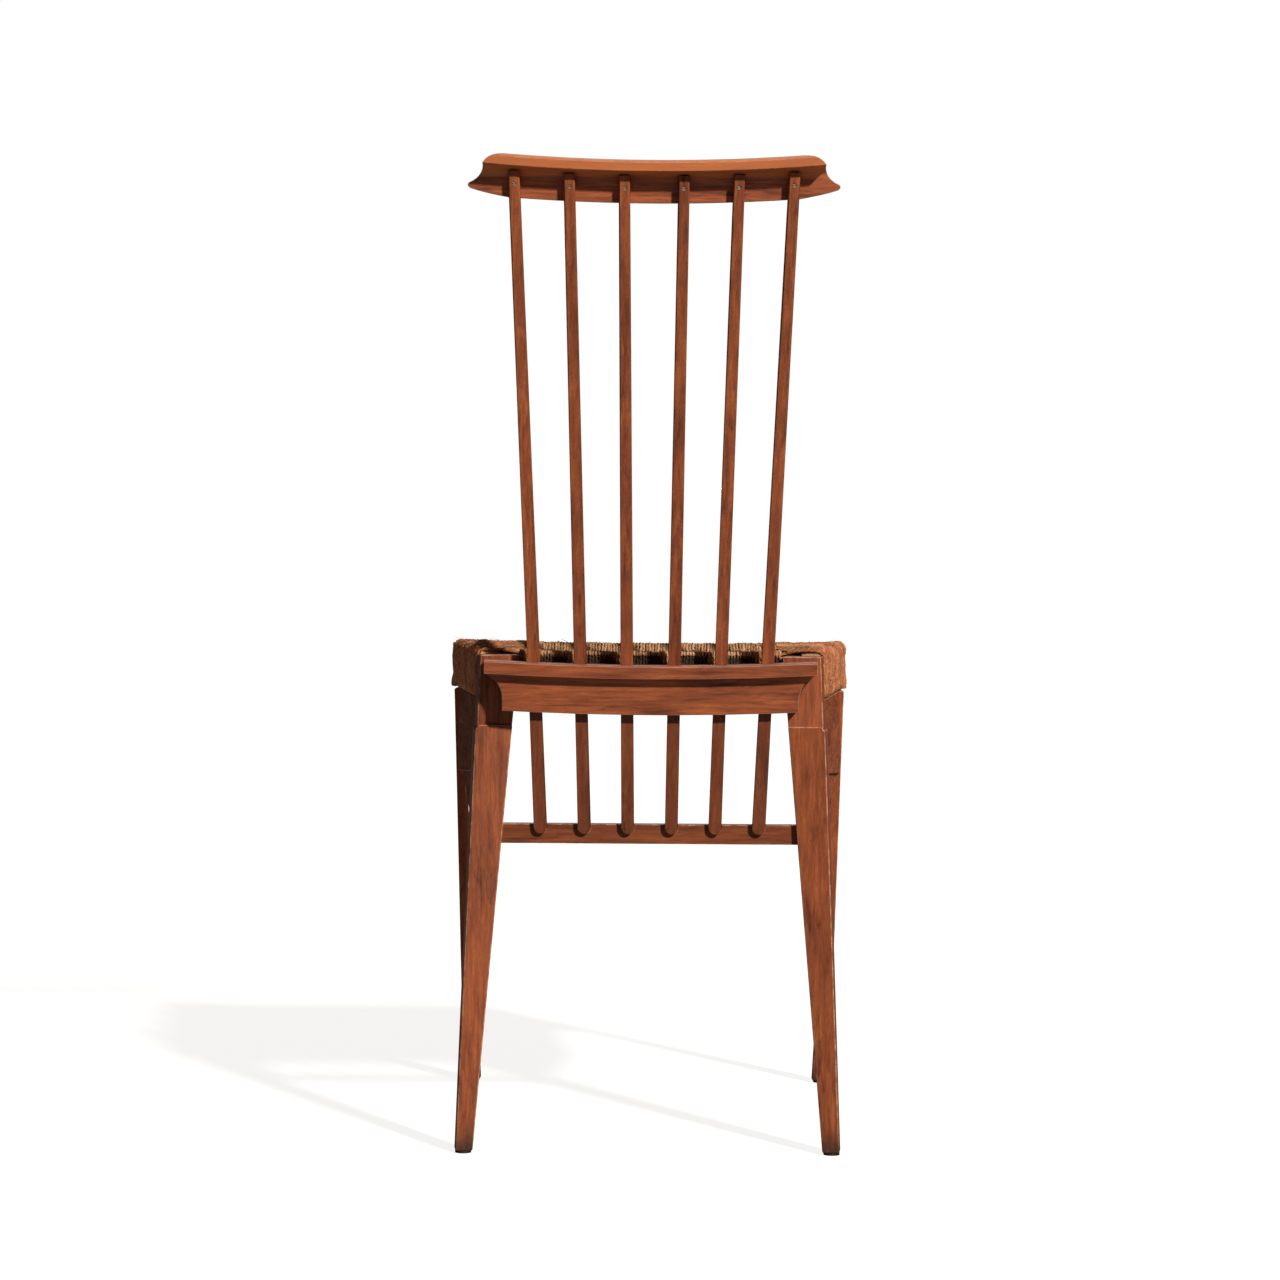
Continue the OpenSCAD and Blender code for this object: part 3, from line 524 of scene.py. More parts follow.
# Straw seat
# Twisted straw cord wound over the four rails in the usual way: each quarter's cords lie side by
# side, turn down at the mitres that run to the middle, and pass on to the next rail underneath.
CORD, CORD_R, CORD_SIDES = 0.00285, 0.00152, 6
SEAT_LOW, SEAT_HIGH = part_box("straw_seat")
SEAT_FRONT, SEAT_BACK, SEAT_UNDER = SEAT_LOW.y, SEAT_HIGH.y, SEAT_LOW.z
SEAT_MIDDLE, SEAT_CURVE = 0.479, 5.673
SEAT_BACK_HALF, SEAT_FRONT_HALF, FRONT_FACE_IN = 0.166, 0.213, 0.0005
SEAT_DIP, RAIL_WRAP, DIP_REACH = 0.003, 0.028, 0.19
SWELL, SWELL_FRONT, SWELL_FULL, SWELL_END, SWELL_FOOT = 0.0078, 0.01, 0.106, 0.119, 0.1315
SWELL_SIDE_DROP = 0.25
EDGE_ROUND, BACK_ROUND, CORNER_ROUND = 0.0095, 0.004, 0.009
# Shares of their radius: the least room at an edge, and the most way round a corner
EDGE_END, CORNER_END = 0.04, 0.98
# The inner corners of the rails, where the mitres start, and the sides of the front legs' posts
FRONT_INNER, REAR_INNER = 0.2105, 0.1255
REAR_LEG_FRONT, CORNER_Y = 0.1405, SEAT_FRONT + 0.002
CENTRE_Y = (REAR_LEG_FRONT + CORNER_Y) / 2
POST_INNER, POST_BACK = 0.186, -0.188
# A cord's points: metres in from the outer face on top, and shares of the way back in underneath
TOP_STEPS = np.array([0.2, 0.18, 0.16, 0.14, 0.12, 0.1, 0.082, 0.068, 0.06, 0.0555, 0.0515, 0.048,
                      0.0445, 0.041, 0.0375, 0.034, 0.0295, 0.025, 0.0205, 0.016, 0.0125])
UNDER_STEPS = np.array([0.03, 0.1, 0.22, 0.4, 0.6, 0.8, 0.97, 1])
EDGE_STEPS, FACE_STEPS, LOW_EDGE_STEPS = 7, 12, 6
MITRE_GAP, EDGE_GAP, LEAST_UNDER = 0.0009, 0.0003, 0.0006
# The two points in the mitre: share of the way in, least way past the next one, and how deep they
# lie on a long cord and on a short one
MITRE_POINTS = ((1.0, 0.001, 0.006, 0.0012), (0.985, 0.0005, 0.002, 0.0004))
LONG_CORD, TAIL_LIFT = 0.04, 0.004
rng = np.random.default_rng(61)


def side_half(y):
    """Half the seat's width at y.

    Its sides run straight, and round the front corners on a quarter circle.
    """
    widens = SEAT_FRONT_HALF - SEAT_BACK_HALF
    straight = SEAT_BACK_HALF + (SEAT_BACK - y) * widens / (SEAT_BACK - SEAT_FRONT)
    return straight - corner_inset(SEAT_FRONT + CORNER_ROUND - y)


def front_face(x):
    """The seat's front edge at x: straight, then round the corners on a quarter circle."""
    return SEAT_FRONT + corner_inset(np.abs(x) - (SEAT_FRONT_HALF - FRONT_FACE_IN - CORNER_ROUND))


def corner_inset(past):
    """How far a quarter circle falls back from the straight edge, at a place past the circle's start."""
    past = np.clip(past, 0, CORNER_END * CORNER_ROUND)
    return CORNER_ROUND - np.sqrt(CORNER_ROUND ** 2 - past ** 2)


def smooth(value, low, high):
    """Goes from 0 to 1 while value goes from low to high, as t * t * (3 - 2 * t)."""
    share = np.clip((value - low) / (high - low), 0, 1)
    return share * share * (3 - 2 * share)


def seat_top(x, y, inward):
    """The cords' top: higher towards the sides on a wide circle, and sunk to the middle in a straight line.

    The padding swells in front of the back rail, and ends there in a short steep slope.
    """
    sunk = SEAT_DIP * np.clip((inward - RAIL_WRAP) / (DIP_REACH - RAIL_WRAP), 0, 1)
    swell = SWELL * smooth(y, SWELL_FRONT, SWELL_FULL) * (1 - smooth(y, SWELL_END, SWELL_FOOT))
    middle = 1 - SWELL_SIDE_DROP * (x / SEAT_BACK_HALF) ** 2
    return SEAT_MIDDLE + x ** 2 / (2 * SEAT_CURVE) - sunk + swell * middle


def edge_drop(room):
    """How far a quarter circle falls off towards an edge that is room away."""
    past = EDGE_ROUND - np.clip(room, EDGE_END * EDGE_ROUND, EDGE_ROUND)
    return EDGE_ROUND - np.sqrt(EDGE_ROUND ** 2 - past ** 2)


def waves(places, run, count, shortest, longest):
    """Smooth random values round 0 over two lengths: a sum of sine waves with random turns and lengths."""
    total = np.zeros(np.broadcast_shapes(places.shape, run.shape))
    for _ in range(count):
        turn, start = rng.uniform(0, 2 * math.pi, 2)
        pace = 2 * math.pi / rng.uniform(shortest, longest)
        total += np.sin(pace * (places * math.cos(turn) + run * math.sin(turn)) + start)
    return total / math.sqrt(count / 2)


def wrap_route(reach, corner, turn):
    """Each cord's line seen from the end of its rail, as distance in from the outer face and height.

    It starts down in the mitre, runs out over the top, rounds the edge on a quarter circle of the
    given turn, goes down the face, rounds the lower edge and goes back in. Where corner is true, it
    goes straight down and ends above the leg. Height is 0 at the top and 1 at the underside, and the
    third array is added to it in metres.
    """
    left = np.arange(len(TOP_STEPS), 0, -1)
    inner = np.minimum(TOP_STEPS, reach[:, None] - MITRE_GAP * left)
    inner = np.maximum(inner, turn + EDGE_GAP * left)
    mitre = [np.maximum(way * reach, inner[:, 0] + past)[:, None] for way, past, _, _ in MITRE_POINTS]
    inner = np.concatenate([*mitre, inner], axis=1)
    tops, tail = inner.shape[1], LOW_EDGE_STEPS + len(UNDER_STEPS)
    bend_r = turn - CORD_R
    angle = np.linspace(math.pi / 2, math.pi, EDGE_STEPS)
    low_angle = np.linspace(math.pi, 1.5 * math.pi, LOW_EDGE_STEPS)
    falls = np.linspace(0, 1, FACE_STEPS + 2)[1:-1]
    under = turn + np.maximum(reach - turn, LEAST_UNDER)[:, None] * UNDER_STEPS
    row = np.ones((len(reach), 1))
    inward = np.concatenate([inner, row * (turn + bend_r * np.cos(angle)), row * CORD_R + 0 * falls,
                             row * (turn + bend_r * np.cos(low_angle)), under], axis=1)
    share = row * np.concatenate([np.zeros(tops + EDGE_STEPS), falls, np.ones(tail)])
    lift = row * np.concatenate([np.full(tops, -CORD_R), bend_r * np.sin(angle) - turn,
                                 -turn * (1 - 2 * falls), turn + bend_r * np.sin(low_angle),
                                 np.full(len(UNDER_STEPS), CORD_R)])
    for point, (_, _, deep, shallow) in enumerate(MITRE_POINTS):
        lift[:, point] -= np.where(reach > LONG_CORD, deep, shallow)
    lift[:, -1] += TAIL_LIFT
    inward[corner, -tail:] = CORD_R
    lift[corner, -tail:] = np.linspace(turn, CORD_R, tail)
    return inward, share, lift


def mesh_piece(name, points, quads, caps=()):
    """A piece of the object from a list of points and of faces, shaded smooth."""
    mesh = bpy.data.meshes.new(name)
    mesh.from_pydata(points.tolist(), [], quads.tolist() + [list(cap) for cap in caps])
    mesh.polygons.foreach_set("use_smooth", [True] * len(mesh.polygons))
    mesh.update()
    piece = bpy.data.objects.new(name, mesh)
    scene.collection.objects.link(piece)
    return piece


def tube_rings(lines, across, radius, sides):
    """Rings of points round lines[cord, step, xyz].

    A point is line + radius * (cos(a) * outward + sin(a) * across).
    """
    along = np.gradient(lines, axis=1)
    along /= np.linalg.norm(along, axis=2, keepdims=True)
    outward = np.cross(across, along)
    outward /= np.linalg.norm(outward, axis=2, keepdims=True)
    angle = np.linspace(0, 2 * math.pi, sides, endpoint=False)
    ring = np.cos(angle)[:, None] * outward[:, :, None, :] + np.sin(angle)[:, None] * across
    return lines[:, :, None, :] + radius[:, :, None, None] * ring


def tube_faces(cords, steps, sides):
    """The four-sided faces between the rings of each tube, and its two end caps."""
    first = (np.arange(cords)[:, None, None] * steps + np.arange(steps - 1)[None, :, None]) * sides
    here = np.arange(sides)[None, None, :]
    there = (here + 1) % sides
    quads = np.stack([first + here, first + there, first + sides + there, first + sides + here], axis=-1)
    start = np.arange(cords)[:, None] * steps * sides + np.arange(sides)[None, :]
    return quads.reshape(-1, 4), np.concatenate([start[:, ::-1], start + (steps - 1) * sides])


def run_along(lines):
    """The length of each line from its start to each of its points: the sum of the steps so far."""
    runs = np.linalg.norm(np.diff(lines, axis=1), axis=2).cumsum(axis=1)
    return np.concatenate([np.zeros((len(lines), 1)), runs], axis=1)


LAY_SHIFT = 3.7


def cord_piece(name, lines, across, radius, shade, painted_shade):
    """Round cords along their lines; across is the way that the rail runs.

    The UV map lay holds the length along the cord, LAY_SHIFT further for each next cord, and the share of
    the way round it. The attribute strand holds each cord's own tone, and a second attribute how much
    painted shade darkens it.
    """
    cords, steps, _ = lines.shape
    quads, caps = tube_faces(cords, steps, CORD_SIDES)
    rings = tube_rings(lines, across, radius, CORD_SIDES)
    piece = mesh_piece(name, rings.reshape(-1, 3), quads, caps)
    length = run_along(lines) + LAY_SHIFT * np.arange(cords)[:, None]
    u = np.stack([length[:, :-1], length[:, :-1], length[:, 1:], length[:, 1:]], axis=-1)
    u = u[:, :, None, :].repeat(CORD_SIDES, axis=2)
    v0 = np.arange(CORD_SIDES) / CORD_SIDES
    v1 = v0 + 1 / CORD_SIDES
    v = np.stack([v0, v1, v1, v0], axis=-1)[None, None].repeat(cords, 0).repeat(steps - 1, 1)
    uv = np.concatenate([np.stack([u, v], axis=-1).reshape(-1, 2), np.zeros((caps.size, 2))])
    layer = piece.data.uv_layers.new(name="lay")
    layer.data.foreach_set("uv", uv.astype(np.float32).ravel())
    strand = np.broadcast_to(shade[:, None], (cords, steps))
    for label, values in (("strand", strand), ("painted_shade", painted_shade)):
        held = piece.data.attributes.new(label, "FLOAT", "POINT")
        held.data.foreach_set("value", np.repeat(values, CORD_SIDES).astype(np.float32))
    return piece


# The first colour below is painted shade, for the straw in the gap over the back rail.
STRAW_SHADE_PAINT = linear(58, 43, 31)
STRAW_MIDDLE = (linear(110, 74, 46), linear(182, 132, 92), linear(232, 188, 140))
STRAW_SIDES = (linear(118, 66, 40), linear(196, 118, 76), linear(236, 164, 112))
STRAW_DARK_AT, REDDENS, REDDENS_UNEVEN = 0.05, (0.13, 0.22), 0.08
TWIST, TWIST_ROUND, GROOVE_WIDTH, GROOVE_PAINTED_SHADE = 90.0, 0.01, 0.45, 0.3
STALKS, PATCHES, FLECKS, STALK_STRETCH = (1000, 3, 0.7), (30, 3, 0.6), (260, 2, 0.6), 0.3
STRAND_SHARE, STALK_SHARE, PATCH_SHARE, FLECK_SHARE, STRAW_LEVEL = 0.4, 0.9, 0.7, 0.7, 0.36
STRAW_ROUGH, STRAW_SHINE = 0.75, 0.25
STRAW_BUMP, STRAW_DEPTH, STALK_HEIGHT = 0.8, 0.0006, 0.6


def make_straw_finish(name, middle_tones, side_tones):
    """Twisted straw: two plies with a painted-shade groove between them, streaks along the fibres, own tone
    per cord.

    A ply's height is the sine of a full turn times the twist, without its sign. The twist is the way
    along the cord times TWIST, plus the share of the way round it. The straw is redder towards the
    seat's sides. Each set of tones is dark, middle and light.
    """
    material, tree, shader, source = started_finish(name)
    lay = tree.nodes.new("ShaderNodeUVMap")
    lay.uv_map = "lay"
    strand = attribute(tree, "strand")
    length, round_it, _ = sides_of(tree, lay.outputs[0])
    twist = math_node(tree, "MULTIPLY_ADD", length, TWIST, round_it)
    ply = math_node(tree, "SINE", math_node(tree, "MULTIPLY", twist, 2 * math.pi))
    ply = math_node(tree, "ABSOLUTE", ply)
    groove = eased_step(tree, ply, 0.0, GROOVE_WIDTH, 1.0, 0.0)
    unrolled = tree.nodes.new("ShaderNodeCombineXYZ")
    tree.links.new(length, unrolled.inputs[0])
    round_ply = math_node(tree, "MULTIPLY", math_node(tree, "FRACT", twist), TWIST_ROUND)
    tree.links.new(round_ply, unrolled.inputs[1])
    tree.links.new(strand, unrolled.inputs[2])
    stalks = noise(tree, stretched(tree, unrolled.outputs[0], STALK_STRETCH, 1, 1), *STALKS)
    patches, flecks = noise(tree, source, *PATCHES), noise(tree, source, *FLECKS)
    tone = blended(tree, ((stalks, STALK_SHARE), (patches, PATCH_SHARE), (flecks, FLECK_SHARE)),
                   math_node(tree, "MULTIPLY", strand, STRAND_SHARE))
    tone = math_node(tree, "ADD", tone, STRAW_LEVEL)
    # Painted shade: the groove between the plies is darkened.
    tone = math_node(tree, "MULTIPLY_ADD", groove, -GROOVE_PAINTED_SHADE, tone, clamp=True)
    colours = [tone_ramp(tree, tone, tones, STRAW_DARK_AT, LIGHT_AT)
               for tones in (middle_tones, side_tones)]
    x, _, _ = sides_of(tree, source)
    aside = math_node(tree, "MULTIPLY_ADD", patches, REDDENS_UNEVEN, math_node(tree, "ABSOLUTE", x))
    straw = mixed(tree, eased_step(tree, aside, *REDDENS), *colours)
    # Painted shade: the cords in the gap over the back rail are darkened here.
    straw = mixed(tree, attribute(tree, "painted_shade"), straw, STRAW_SHADE_PAINT)
    tree.links.new(straw, shader.inputs["Base Color"])
    shader.inputs["Roughness"].default_value = STRAW_ROUGH
    shader.inputs["Specular IOR Level"].default_value = STRAW_SHINE
    height = math_node(tree, "MULTIPLY_ADD", stalks, STALK_HEIGHT, ply)
    bumped(tree, shader, height, STRAW_BUMP, STRAW_DEPTH)
    return material


straw_finish = make_straw_finish("straw_finish", STRAW_MIDDLE, STRAW_SIDES)
SIDE_ROUGH, BACK_ROUGH, FINE_ROUGH = 0.0005, 0.00035, 0.00006
STRAY, OWN_STRAY, OWN_PACE = 0.00035, 0.00018, 400
LUMPS, LUMPS_MOST, CORDS_VARY, THINNEST, THICKEST = 0.08, 2, 0.07, 0.85, 1.18
SHADE_PAINT_SINK = 0.0022
# Waves: how many, and the shortest and the longest
ROUGH_WAVES, STRAY_WAVES = (14, 0.009, 0.04), (10, 0.02, 0.08)
OWN_STRAY_WAVES, LUMP_WAVES = (6, 0.02, 0.06), (8, 0.006, 0.02)


def quarter(name, places, reach, corner, turn, to_world, across, rough, room=None, shade_painter=None):
    """One quarter of the seat: a cord at each place along its rail, as deep as the mitre lies there.

    The whole surface is uneven by rough metres, and each cord is a little lumpy and strays sideways.
    Room gives how far a place is from the next quarter's outer edge, where the cords sink. The last
    argument gives how much painted shade darkens the cords, and they sink a little there too.
    """
    inward, share, lift = wrap_route(reach, corner, turn)
    flat = to_world(places[:, None], inward, 0 * inward)
    top = seat_top(flat[:, :, 0], flat[:, :, 1], inward)
    if room is not None:
        top = top - edge_drop(room(flat[:, :, 0], flat[:, :, 1]))
    height = top * (1 - share) + SEAT_UNDER * share + lift
    lines = to_world(places[:, None], inward, height)
    run = run_along(lines) - reach[:, None]
    outward = np.cross(across, np.gradient(lines, axis=1))
    outward /= np.linalg.norm(outward, axis=2, keepdims=True)
    place, own = places[:, None], OWN_PACE * places[:, None]
    raised = rough * waves(place, run, *ROUGH_WAVES) + rng.normal(0, FINE_ROUGH, run.shape)
    strayed = STRAY * waves(place, run, *STRAY_WAVES)
    strayed += OWN_STRAY * waves(own, run, *OWN_STRAY_WAVES)
    painted_shade = np.zeros(run.shape) if shade_painter is None else shade_painter(lines)
    lines = lines + raised[..., None] * outward + strayed[..., None] * across
    lines = lines - (SHADE_PAINT_SINK * painted_shade)[..., None] * outward
    lumps = 1 + LUMPS * waves(own, run, *LUMP_WAVES).clip(-LUMPS_MOST, LUMPS_MOST)
    thick = rng.normal(1.0, CORDS_VARY, (len(places), 1)).clip(THINNEST, THICKEST)
    piece = cord_piece(name, lines, across, CORD_R * lumps * thick, rng.random(len(places)), painted_shade)
    dress(piece, straw_finish)
    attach(piece, "root")
    return piece


def spread(low, high):
    """The middles of equal steps between two ends, as many as cords fit there."""
    count = int(round((high - low) / CORD))
    return low + (np.arange(count) + 0.5) * (high - low) / count


def gathered(x, y, z):
    """Points from three arrays that have the same shape once spread out."""
    return np.stack(np.broadcast_arrays(x, y, z), axis=-1)


SPINDLE_SPOTS = np.array([-0.1116, -0.0672, -0.0228, 0.0228, 0.0672, 0.1116])
# Where shade is painted in the gap over the back rail, and the unshaded bits beside each spindle.
GAP_TOP, GAP_LOW, GAP_DEPTH = 0.4757, 0.4665, 0.006
GAP_TOP_PAST, GAP_TOP_BLEND, GAP_LOW_PAST, GAP_LOW_BLEND = 0.0004, 0.0012, 0.004, 0.003
UNSHADED_SHIFT, UNSHADED_LEAN, UNSHADED_HALF, UNSHADED_BLEND = 0.0045, 0.35, 0.0045, 0.003


def gap_shade_paint(lines):
    """Painted shade darkens the straw in the narrow gap over the back rail, apart from bits beside each
    spindle that are left unshaded.
    """
    x, y, z = lines[..., 0], lines[..., 1], lines[..., 2]
    lean = UNSHADED_LEAN * (z[..., None] - GAP_LOW)
    past = np.abs(x[..., None] - SPINDLE_SPOTS - UNSHADED_SHIFT - lean).min(axis=-1)
    dark = np.clip((past - UNSHADED_HALF) / UNSHADED_BLEND, 0, 1)
    depth = (np.clip((GAP_TOP + GAP_TOP_PAST - z) / GAP_TOP_BLEND, 0, 1)
             * np.clip((z - GAP_LOW + GAP_LOW_PAST) / GAP_LOW_BLEND, 0, 1))
    return dark * depth * (y > SEAT_BACK - GAP_DEPTH)


X_WAY, Y_WAY = np.array([1.0, 0, 0]), np.array([0, 1.0, 0])
back_places = spread(-REAR_INNER, REAR_INNER)
back_mitre = CENTRE_Y + (REAR_LEG_FRONT - CENTRE_Y) * np.abs(back_places) / REAR_INNER
front_places = spread(-FRONT_INNER, FRONT_INNER)
front_mitre = CENTRE_Y + (CORNER_Y - CENTRE_Y) * np.abs(front_places) / FRONT_INNER
side_places = spread(CORNER_Y, REAR_LEG_FRONT)
behind = side_places > CENTRE_Y
side_share = (side_places - CENTRE_Y) / np.where(behind, REAR_LEG_FRONT - CENTRE_Y, CORNER_Y - CENTRE_Y)
side_reach = side_half(side_places) - side_share * np.where(behind, REAR_INNER, FRONT_INNER)

# The back quarter takes painted shade in the gap over the back rail.
back_cords = quarter("straw_back", back_places, SEAT_BACK - back_mitre, np.zeros(len(back_places), bool),
                     BACK_ROUND, lambda p, d, z: gathered(p, SEAT_BACK - d, z), X_WAY, BACK_ROUGH,
                     shade_painter=gap_shade_paint)
quarter("straw_front", front_places, front_mitre - front_face(front_places),
        np.abs(front_places) > POST_INNER, EDGE_ROUND,
        lambda p, d, z: gathered(p, front_face(p) + d, z), -X_WAY, SIDE_ROUGH,
        lambda x, y: side_half(y) - np.abs(x))
for name, way in (("straw_left", 1), ("straw_right", -1)):
    quarter(name, side_places, side_reach, side_places < POST_BACK, EDGE_ROUND,
            lambda p, d, z: gathered(way * (side_half(p) - d), p, z), -way * Y_WAY, SIDE_ROUGH,
            lambda x, y: y - front_face(x))
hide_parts("straw_seat")

# Loose straw
# Broken ends of straw stand out of the cords, most of them along the seat's edges. They are stiff,
# thinner towards their tips and a little bowed, and only the winding holds them.
HAIRS, HAIR_STEPS, HAIR_SIDES, HAIR_ACROSS = 420, 5, 3, np.array([0.3, 0.2, 1.0])
HAIR_IN, HAIR_EDGE, HAIR_ROOT = 0.05, 0.003, 0.001
HAIR_BACK_HALF, HAIR_FRONT_HALF, HAIR_SIDE_SHARE = 0.122, 0.2, 0.97
HAIR_LEAN, HAIR_LONG, HAIR_BOW = (0.15, 0.75), (0.003, 0.009), (0.1, 0.6)
HAIR_R, HAIR_TIP = (0.00012, 0.0003), 0.5
HAIR_TONES = (linear(150, 96, 60), linear(222, 172, 120))
HAIR_PATCHES, HAIR_STEP, HAIR_ROUGH = (120, 2, 0.5), (0.3, 0.7), 0.7
hair_turn = rng.uniform(0, 2 * math.pi, HAIRS)
hair_side = rng.integers(0, 4, HAIRS)
hair_in = HAIR_EDGE + rng.uniform(0, 1, HAIRS) ** 2 * HAIR_IN
hair_place = rng.uniform(-1, 1, HAIRS)
side_y = CENTRE_Y + hair_place * (REAR_LEG_FRONT - CENTRE_Y) * HAIR_SIDE_SHARE
side_x = side_half(side_y) - hair_in
hair_x = np.select([hair_side == 0, hair_side == 1, hair_side == 2],
                   [hair_place * HAIR_BACK_HALF, hair_place * HAIR_FRONT_HALF, side_x], -side_x)
hair_y = np.select([hair_side == 0, hair_side == 1], [SEAT_BACK - hair_in, SEAT_FRONT + hair_in], side_y)
hair_z = seat_top(hair_x, hair_y, hair_in - HAIR_EDGE) - HAIR_ROOT
hair_lean = rng.uniform(*HAIR_LEAN, HAIRS)
hair_long = rng.uniform(*HAIR_LONG, HAIRS)[:, None, None]
hair_way = gathered(np.cos(hair_turn), np.sin(hair_turn), hair_lean)
hair_bow = gathered(-np.sin(hair_turn), np.cos(hair_turn), -hair_lean) * rng.uniform(*HAIR_BOW, (HAIRS, 1))
part = np.linspace(0, 1, HAIR_STEPS)[None, :, None]
hair_lines = part * hair_way[:, None, :] + part ** 2 * hair_bow[:, None, :]
hair_lines = gathered(hair_x, hair_y, hair_z)[:, None, :] + hair_long * hair_lines
hair_radius = rng.uniform(*HAIR_R, (HAIRS, 1)) * np.linspace(1, HAIR_TIP, HAIR_STEPS)
hair_across = np.cross(hair_way, HAIR_ACROSS)
hair_across /= np.linalg.norm(hair_across, axis=1, keepdims=True)


def hair_rings(lines, across, radius):
    """Points round each step of each hair: line + radius * (cos(a) * outward + sin(a) * sideways)."""
    along = np.gradient(lines, axis=1)
    along /= np.linalg.norm(along, axis=2, keepdims=True)
    outward = np.cross(across[:, None, :], along)
    outward /= np.linalg.norm(outward, axis=2, keepdims=True)
    sideways = np.cross(outward, along)
    angle = np.linspace(0, 2 * math.pi, HAIR_SIDES, endpoint=False)[:, None]
    ring = np.cos(angle) * outward[:, :, None, :] + np.sin(angle) * sideways[:, :, None, :]
    return lines[:, :, None, :] + radius[:, :, None, None] * ring


hairs = mesh_piece("straw_ends", hair_rings(hair_lines, hair_across, hair_radius).reshape(-1, 3),
                   *tube_faces(HAIRS, HAIR_STEPS, HAIR_SIDES))
hair_finish, tree, shader, source = started_finish("straw_end_finish")
shade = eased_step(tree, noise(tree, source, *HAIR_PATCHES), *HAIR_STEP)
tree.links.new(mixed(tree, shade, *HAIR_TONES), shader.inputs["Base Color"])
shader.inputs["Roughness"].default_value = HAIR_ROUGH
dress(hairs, hair_finish)
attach(hairs, "root")

# Seat padding
# Loose straw pushed in between the cord's upper and lower layers while the seat is wound. Its stalks
# lie both ways, and it shows only where the cords part.
PADDING_TONES = (linear(74, 50, 32), linear(190, 148, 98))
PADDING_STALKS, PADDING_STRETCH, PADDING_STEP = (500, 4, 0.7, 1.5), 0.12, (0.4, 0.7)
PADDING_ROUGH, PADDING_BUMP, PADDING_DEPTH = 0.85, 0.8, 0.001
padding, tree, shader, source = started_finish("padding_finish")
lengthwise = noise(tree, stretched(tree, source, 1, PADDING_STRETCH, 1), *PADDING_STALKS)
crosswise = noise(tree, stretched(tree, source, PADDING_STRETCH, 1, 1), *PADDING_STALKS)
strewn = math_node(tree, "MAXIMUM", lengthwise, crosswise)
shade = eased_step(tree, strewn, *PADDING_STEP)
tree.links.new(mixed(tree, shade, *PADDING_TONES), shader.inputs["Base Color"])
shader.inputs["Roughness"].default_value = PADDING_ROUGH
bumped(tree, shader, strewn, PADDING_BUMP, PADDING_DEPTH)
dress(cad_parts["seat_stuffing"], padding)

# Back rail
# A moulded rail of the legs' wood, doweled into the steps of both rear legs: a proud band over a hollow and
# a lower band. Its top back arris is well rounded and painted near white as a highlight, and its other
# arrises are worn a little paler.
RAIL_ROUND, RAIL_TOP_ROUND = 0.00045, 0.003
RAIL_RUB_AND_GLINT, RAIL_RUB_AND_GLINT_SHARES = linear(255, 238, 220), (0.7, 1.0)
RAIL_LOW, RAIL_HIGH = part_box("back_rail")
TOP_ARRIS_Z, TOP_ARRIS_Y = RAIL_HIGH.z - 0.006, RAIL_HIGH.y - 0.002
rail = eased_copy("back_rail", "back_rail_wood", RAIL_ROUND, wide_width=RAIL_TOP_ROUND,
                  wide=lambda middle: middle.z > TOP_ARRIS_Z and middle.y > TOP_ARRIS_Y)
# Painted highlight: the rounded top back arris turns near white, the other arrises take a little of it as
# wear.
finish = wood_finish("back_rail_finish", "x", (0.5, 1.2, 0.3), worn=RAIL_RUB_AND_GLINT, wear=RAIL_RUB_AND_GLINT_SHARES)
dress(rail, finish)

# Cross stretcher
# A low bar of the same wood, coloured darker, doweled between the rear legs, with a housing cut into it for
# the lower end of each spindle.
STRETCHER_ROUND, STRETCHER_TONE = 0.0009, 0.68
bar = eased_copy("cross_stretcher", "cross_stretcher_wood", STRETCHER_ROUND)
dress(bar, wood_finish("cross_stretcher_finish", "x", (1.5, 2.2, 0.8), toned(STRETCHER_TONE)))

# Crest rail
# A top rail sawn and carved to a curve, with a lip that overhangs a deep hollow and ends cut to a point.
# Only the spindles carry it. Its colour is painted lighter all over, and its lip lighter still, as light
# falling on it from above.
CREST_ROUND, CREST_LIT_TONE, CREST_ROUGH = 0.0006, 1.25, 0.34
CREST_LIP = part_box("crest_rail")[1].z - 0.0235
crest = eased_copy("crest_rail", "crest_rail_wood", CREST_ROUND, hollows=True)
# Painted light: the crest's tones are lightened, and more above the lip's height, as if lit from above.
finish = wood_finish("crest_rail_finish", "x", (2.5, 0.2, 1.8), toned(CREST_LIT_TONE), rough=CREST_ROUGH,
                     lit_from=CREST_LIP)
dress(crest, finish)
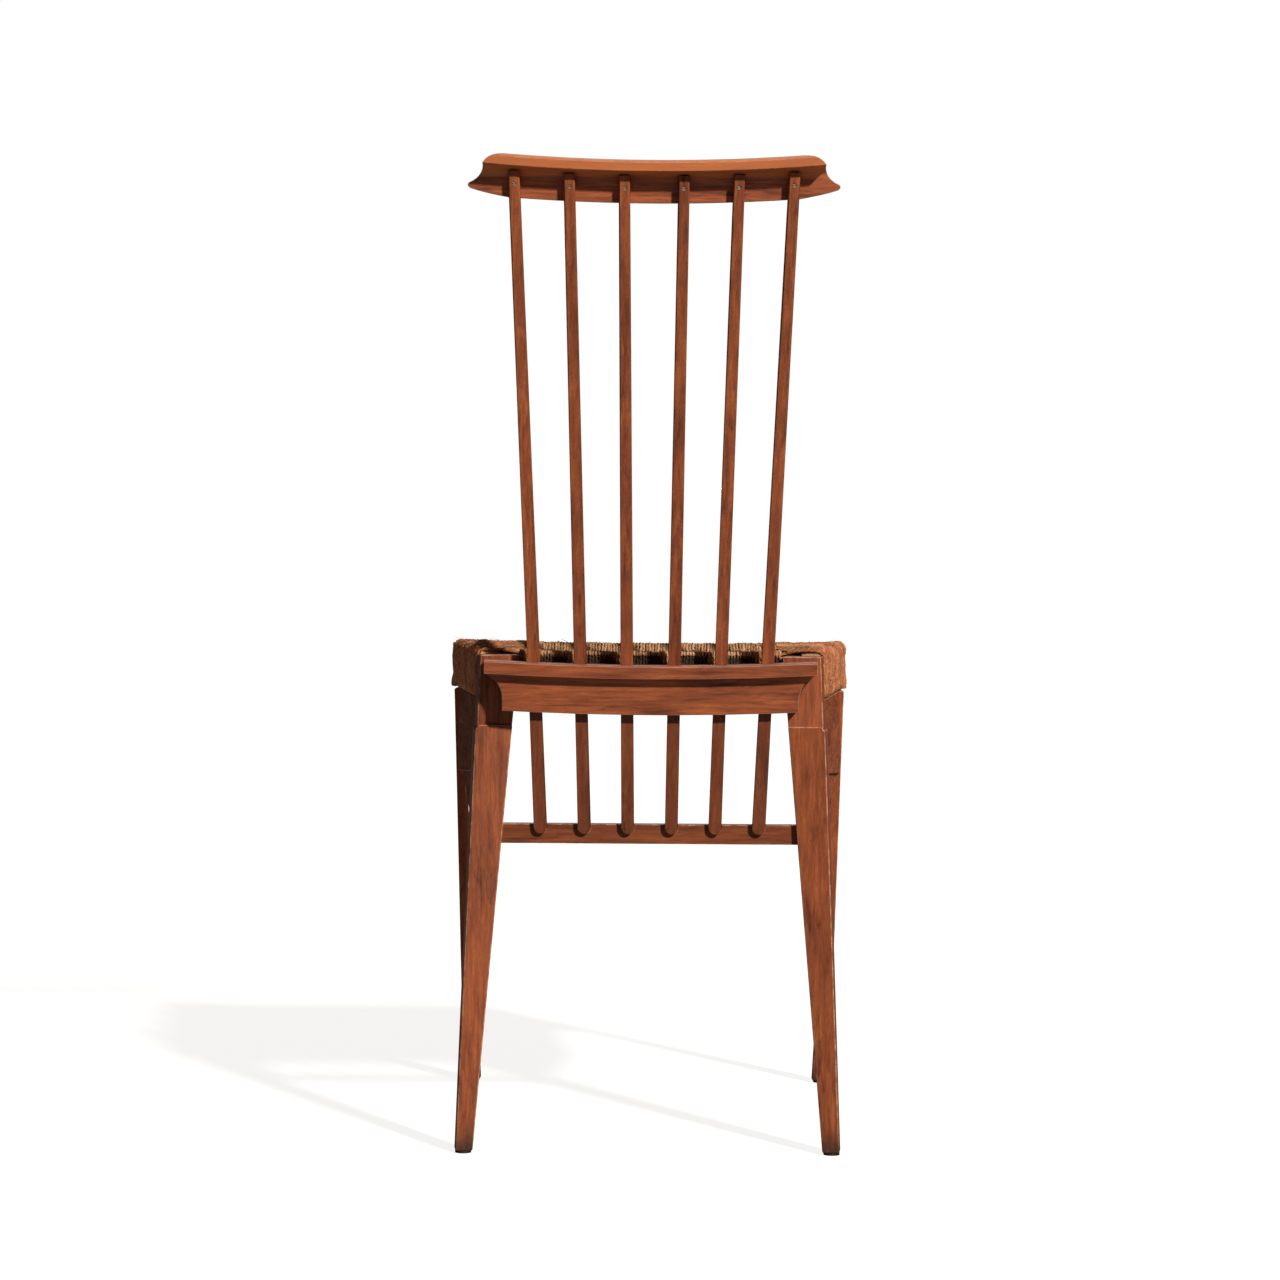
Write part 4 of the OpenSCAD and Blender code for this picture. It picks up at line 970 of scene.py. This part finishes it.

# Spindles
# Six slightly tapered bars of the same wood, with well rounded arrises, that fan out from the stretcher up
# to the crest rail. Each has its own shade, and they are darker under the back rail.
SPINDLE_ROUND, SPINDLE_END_ROUND = 0.0017, 0.0006
SPINDLE_DIM, SPINDLE_HEAD = RAIL_LOW.z + 0.02, CREST_LIP - 0.1
SPINDLE_SHADES = (1.0, 0.9, 0.94, 0.86, 0.98, 0.92)
for number, shade in enumerate(SPINDLE_SHADES, start=1):
    bar = eased_copy(f"spindle_{number}", f"spindle_{number}_wood", SPINDLE_END_ROUND,
                     wide_width=SPINDLE_ROUND, wide=lambda middle: SPINDLE_DIM < middle.z < SPINDLE_HEAD)
    plank = (0.37 * number, 0.21 * number, 0.5 * number)
    finish = wood_finish(f"spindle_{number}_finish", "z", plank, toned(shade), dim=SPINDLE_DIM)
    dress(bar, finish)

# Screws
# One small slotted steel screw holds the head of each spindle to the crest rail, a little sunk. The
# steel is tarnished in patches.
STEEL_TONES = (linear(236, 222, 200), linear(120, 98, 74))
STEEL_PATCHES, STEEL_STEP = (500, 4, 0.6), (0.35, 0.7)
STEEL_ROUGH, TARNISH_ROUGH = 0.38, 0.3
steel, tree, shader, source = started_finish("screw_finish")
tarnish = eased_step(tree, noise(tree, source, *STEEL_PATCHES), *STEEL_STEP)
tree.links.new(mixed(tree, tarnish, *STEEL_TONES), shader.inputs["Base Color"])
rough = math_node(tree, "MULTIPLY_ADD", tarnish, TARNISH_ROUGH, STEEL_ROUGH)
tree.links.new(rough, shader.inputs["Roughness"])
shader.inputs["Metallic"].default_value = 1.0
dress(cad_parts["crest_screws"], steel)

# Glides
# Dark moulded discs of hard rubber, each with a pin that is driven up into the foot. The floor has
# scuffed them.
RUBBER_TONES = (linear(30, 26, 23), linear(74, 66, 58))
SCUFFS, SCUFF_STEP = (900, 4, 0.65), (0.45, 0.75)
RUBBER_ROUGH, SCUFF_ROUGH = 0.5, 0.25
rubber, tree, shader, source = started_finish("glide_finish")
scuffs = eased_step(tree, noise(tree, source, *SCUFFS), *SCUFF_STEP)
tree.links.new(mixed(tree, scuffs, *RUBBER_TONES), shader.inputs["Base Color"])
rough = math_node(tree, "MULTIPLY_ADD", scuffs, SCUFF_ROUGH, RUBBER_ROUGH)
tree.links.new(rough, shader.inputs["Roughness"])
for node in ("rear_glide_left", "rear_glide_right", "front_glide_left", "front_glide_right"):
    dress(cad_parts[node], rubber)
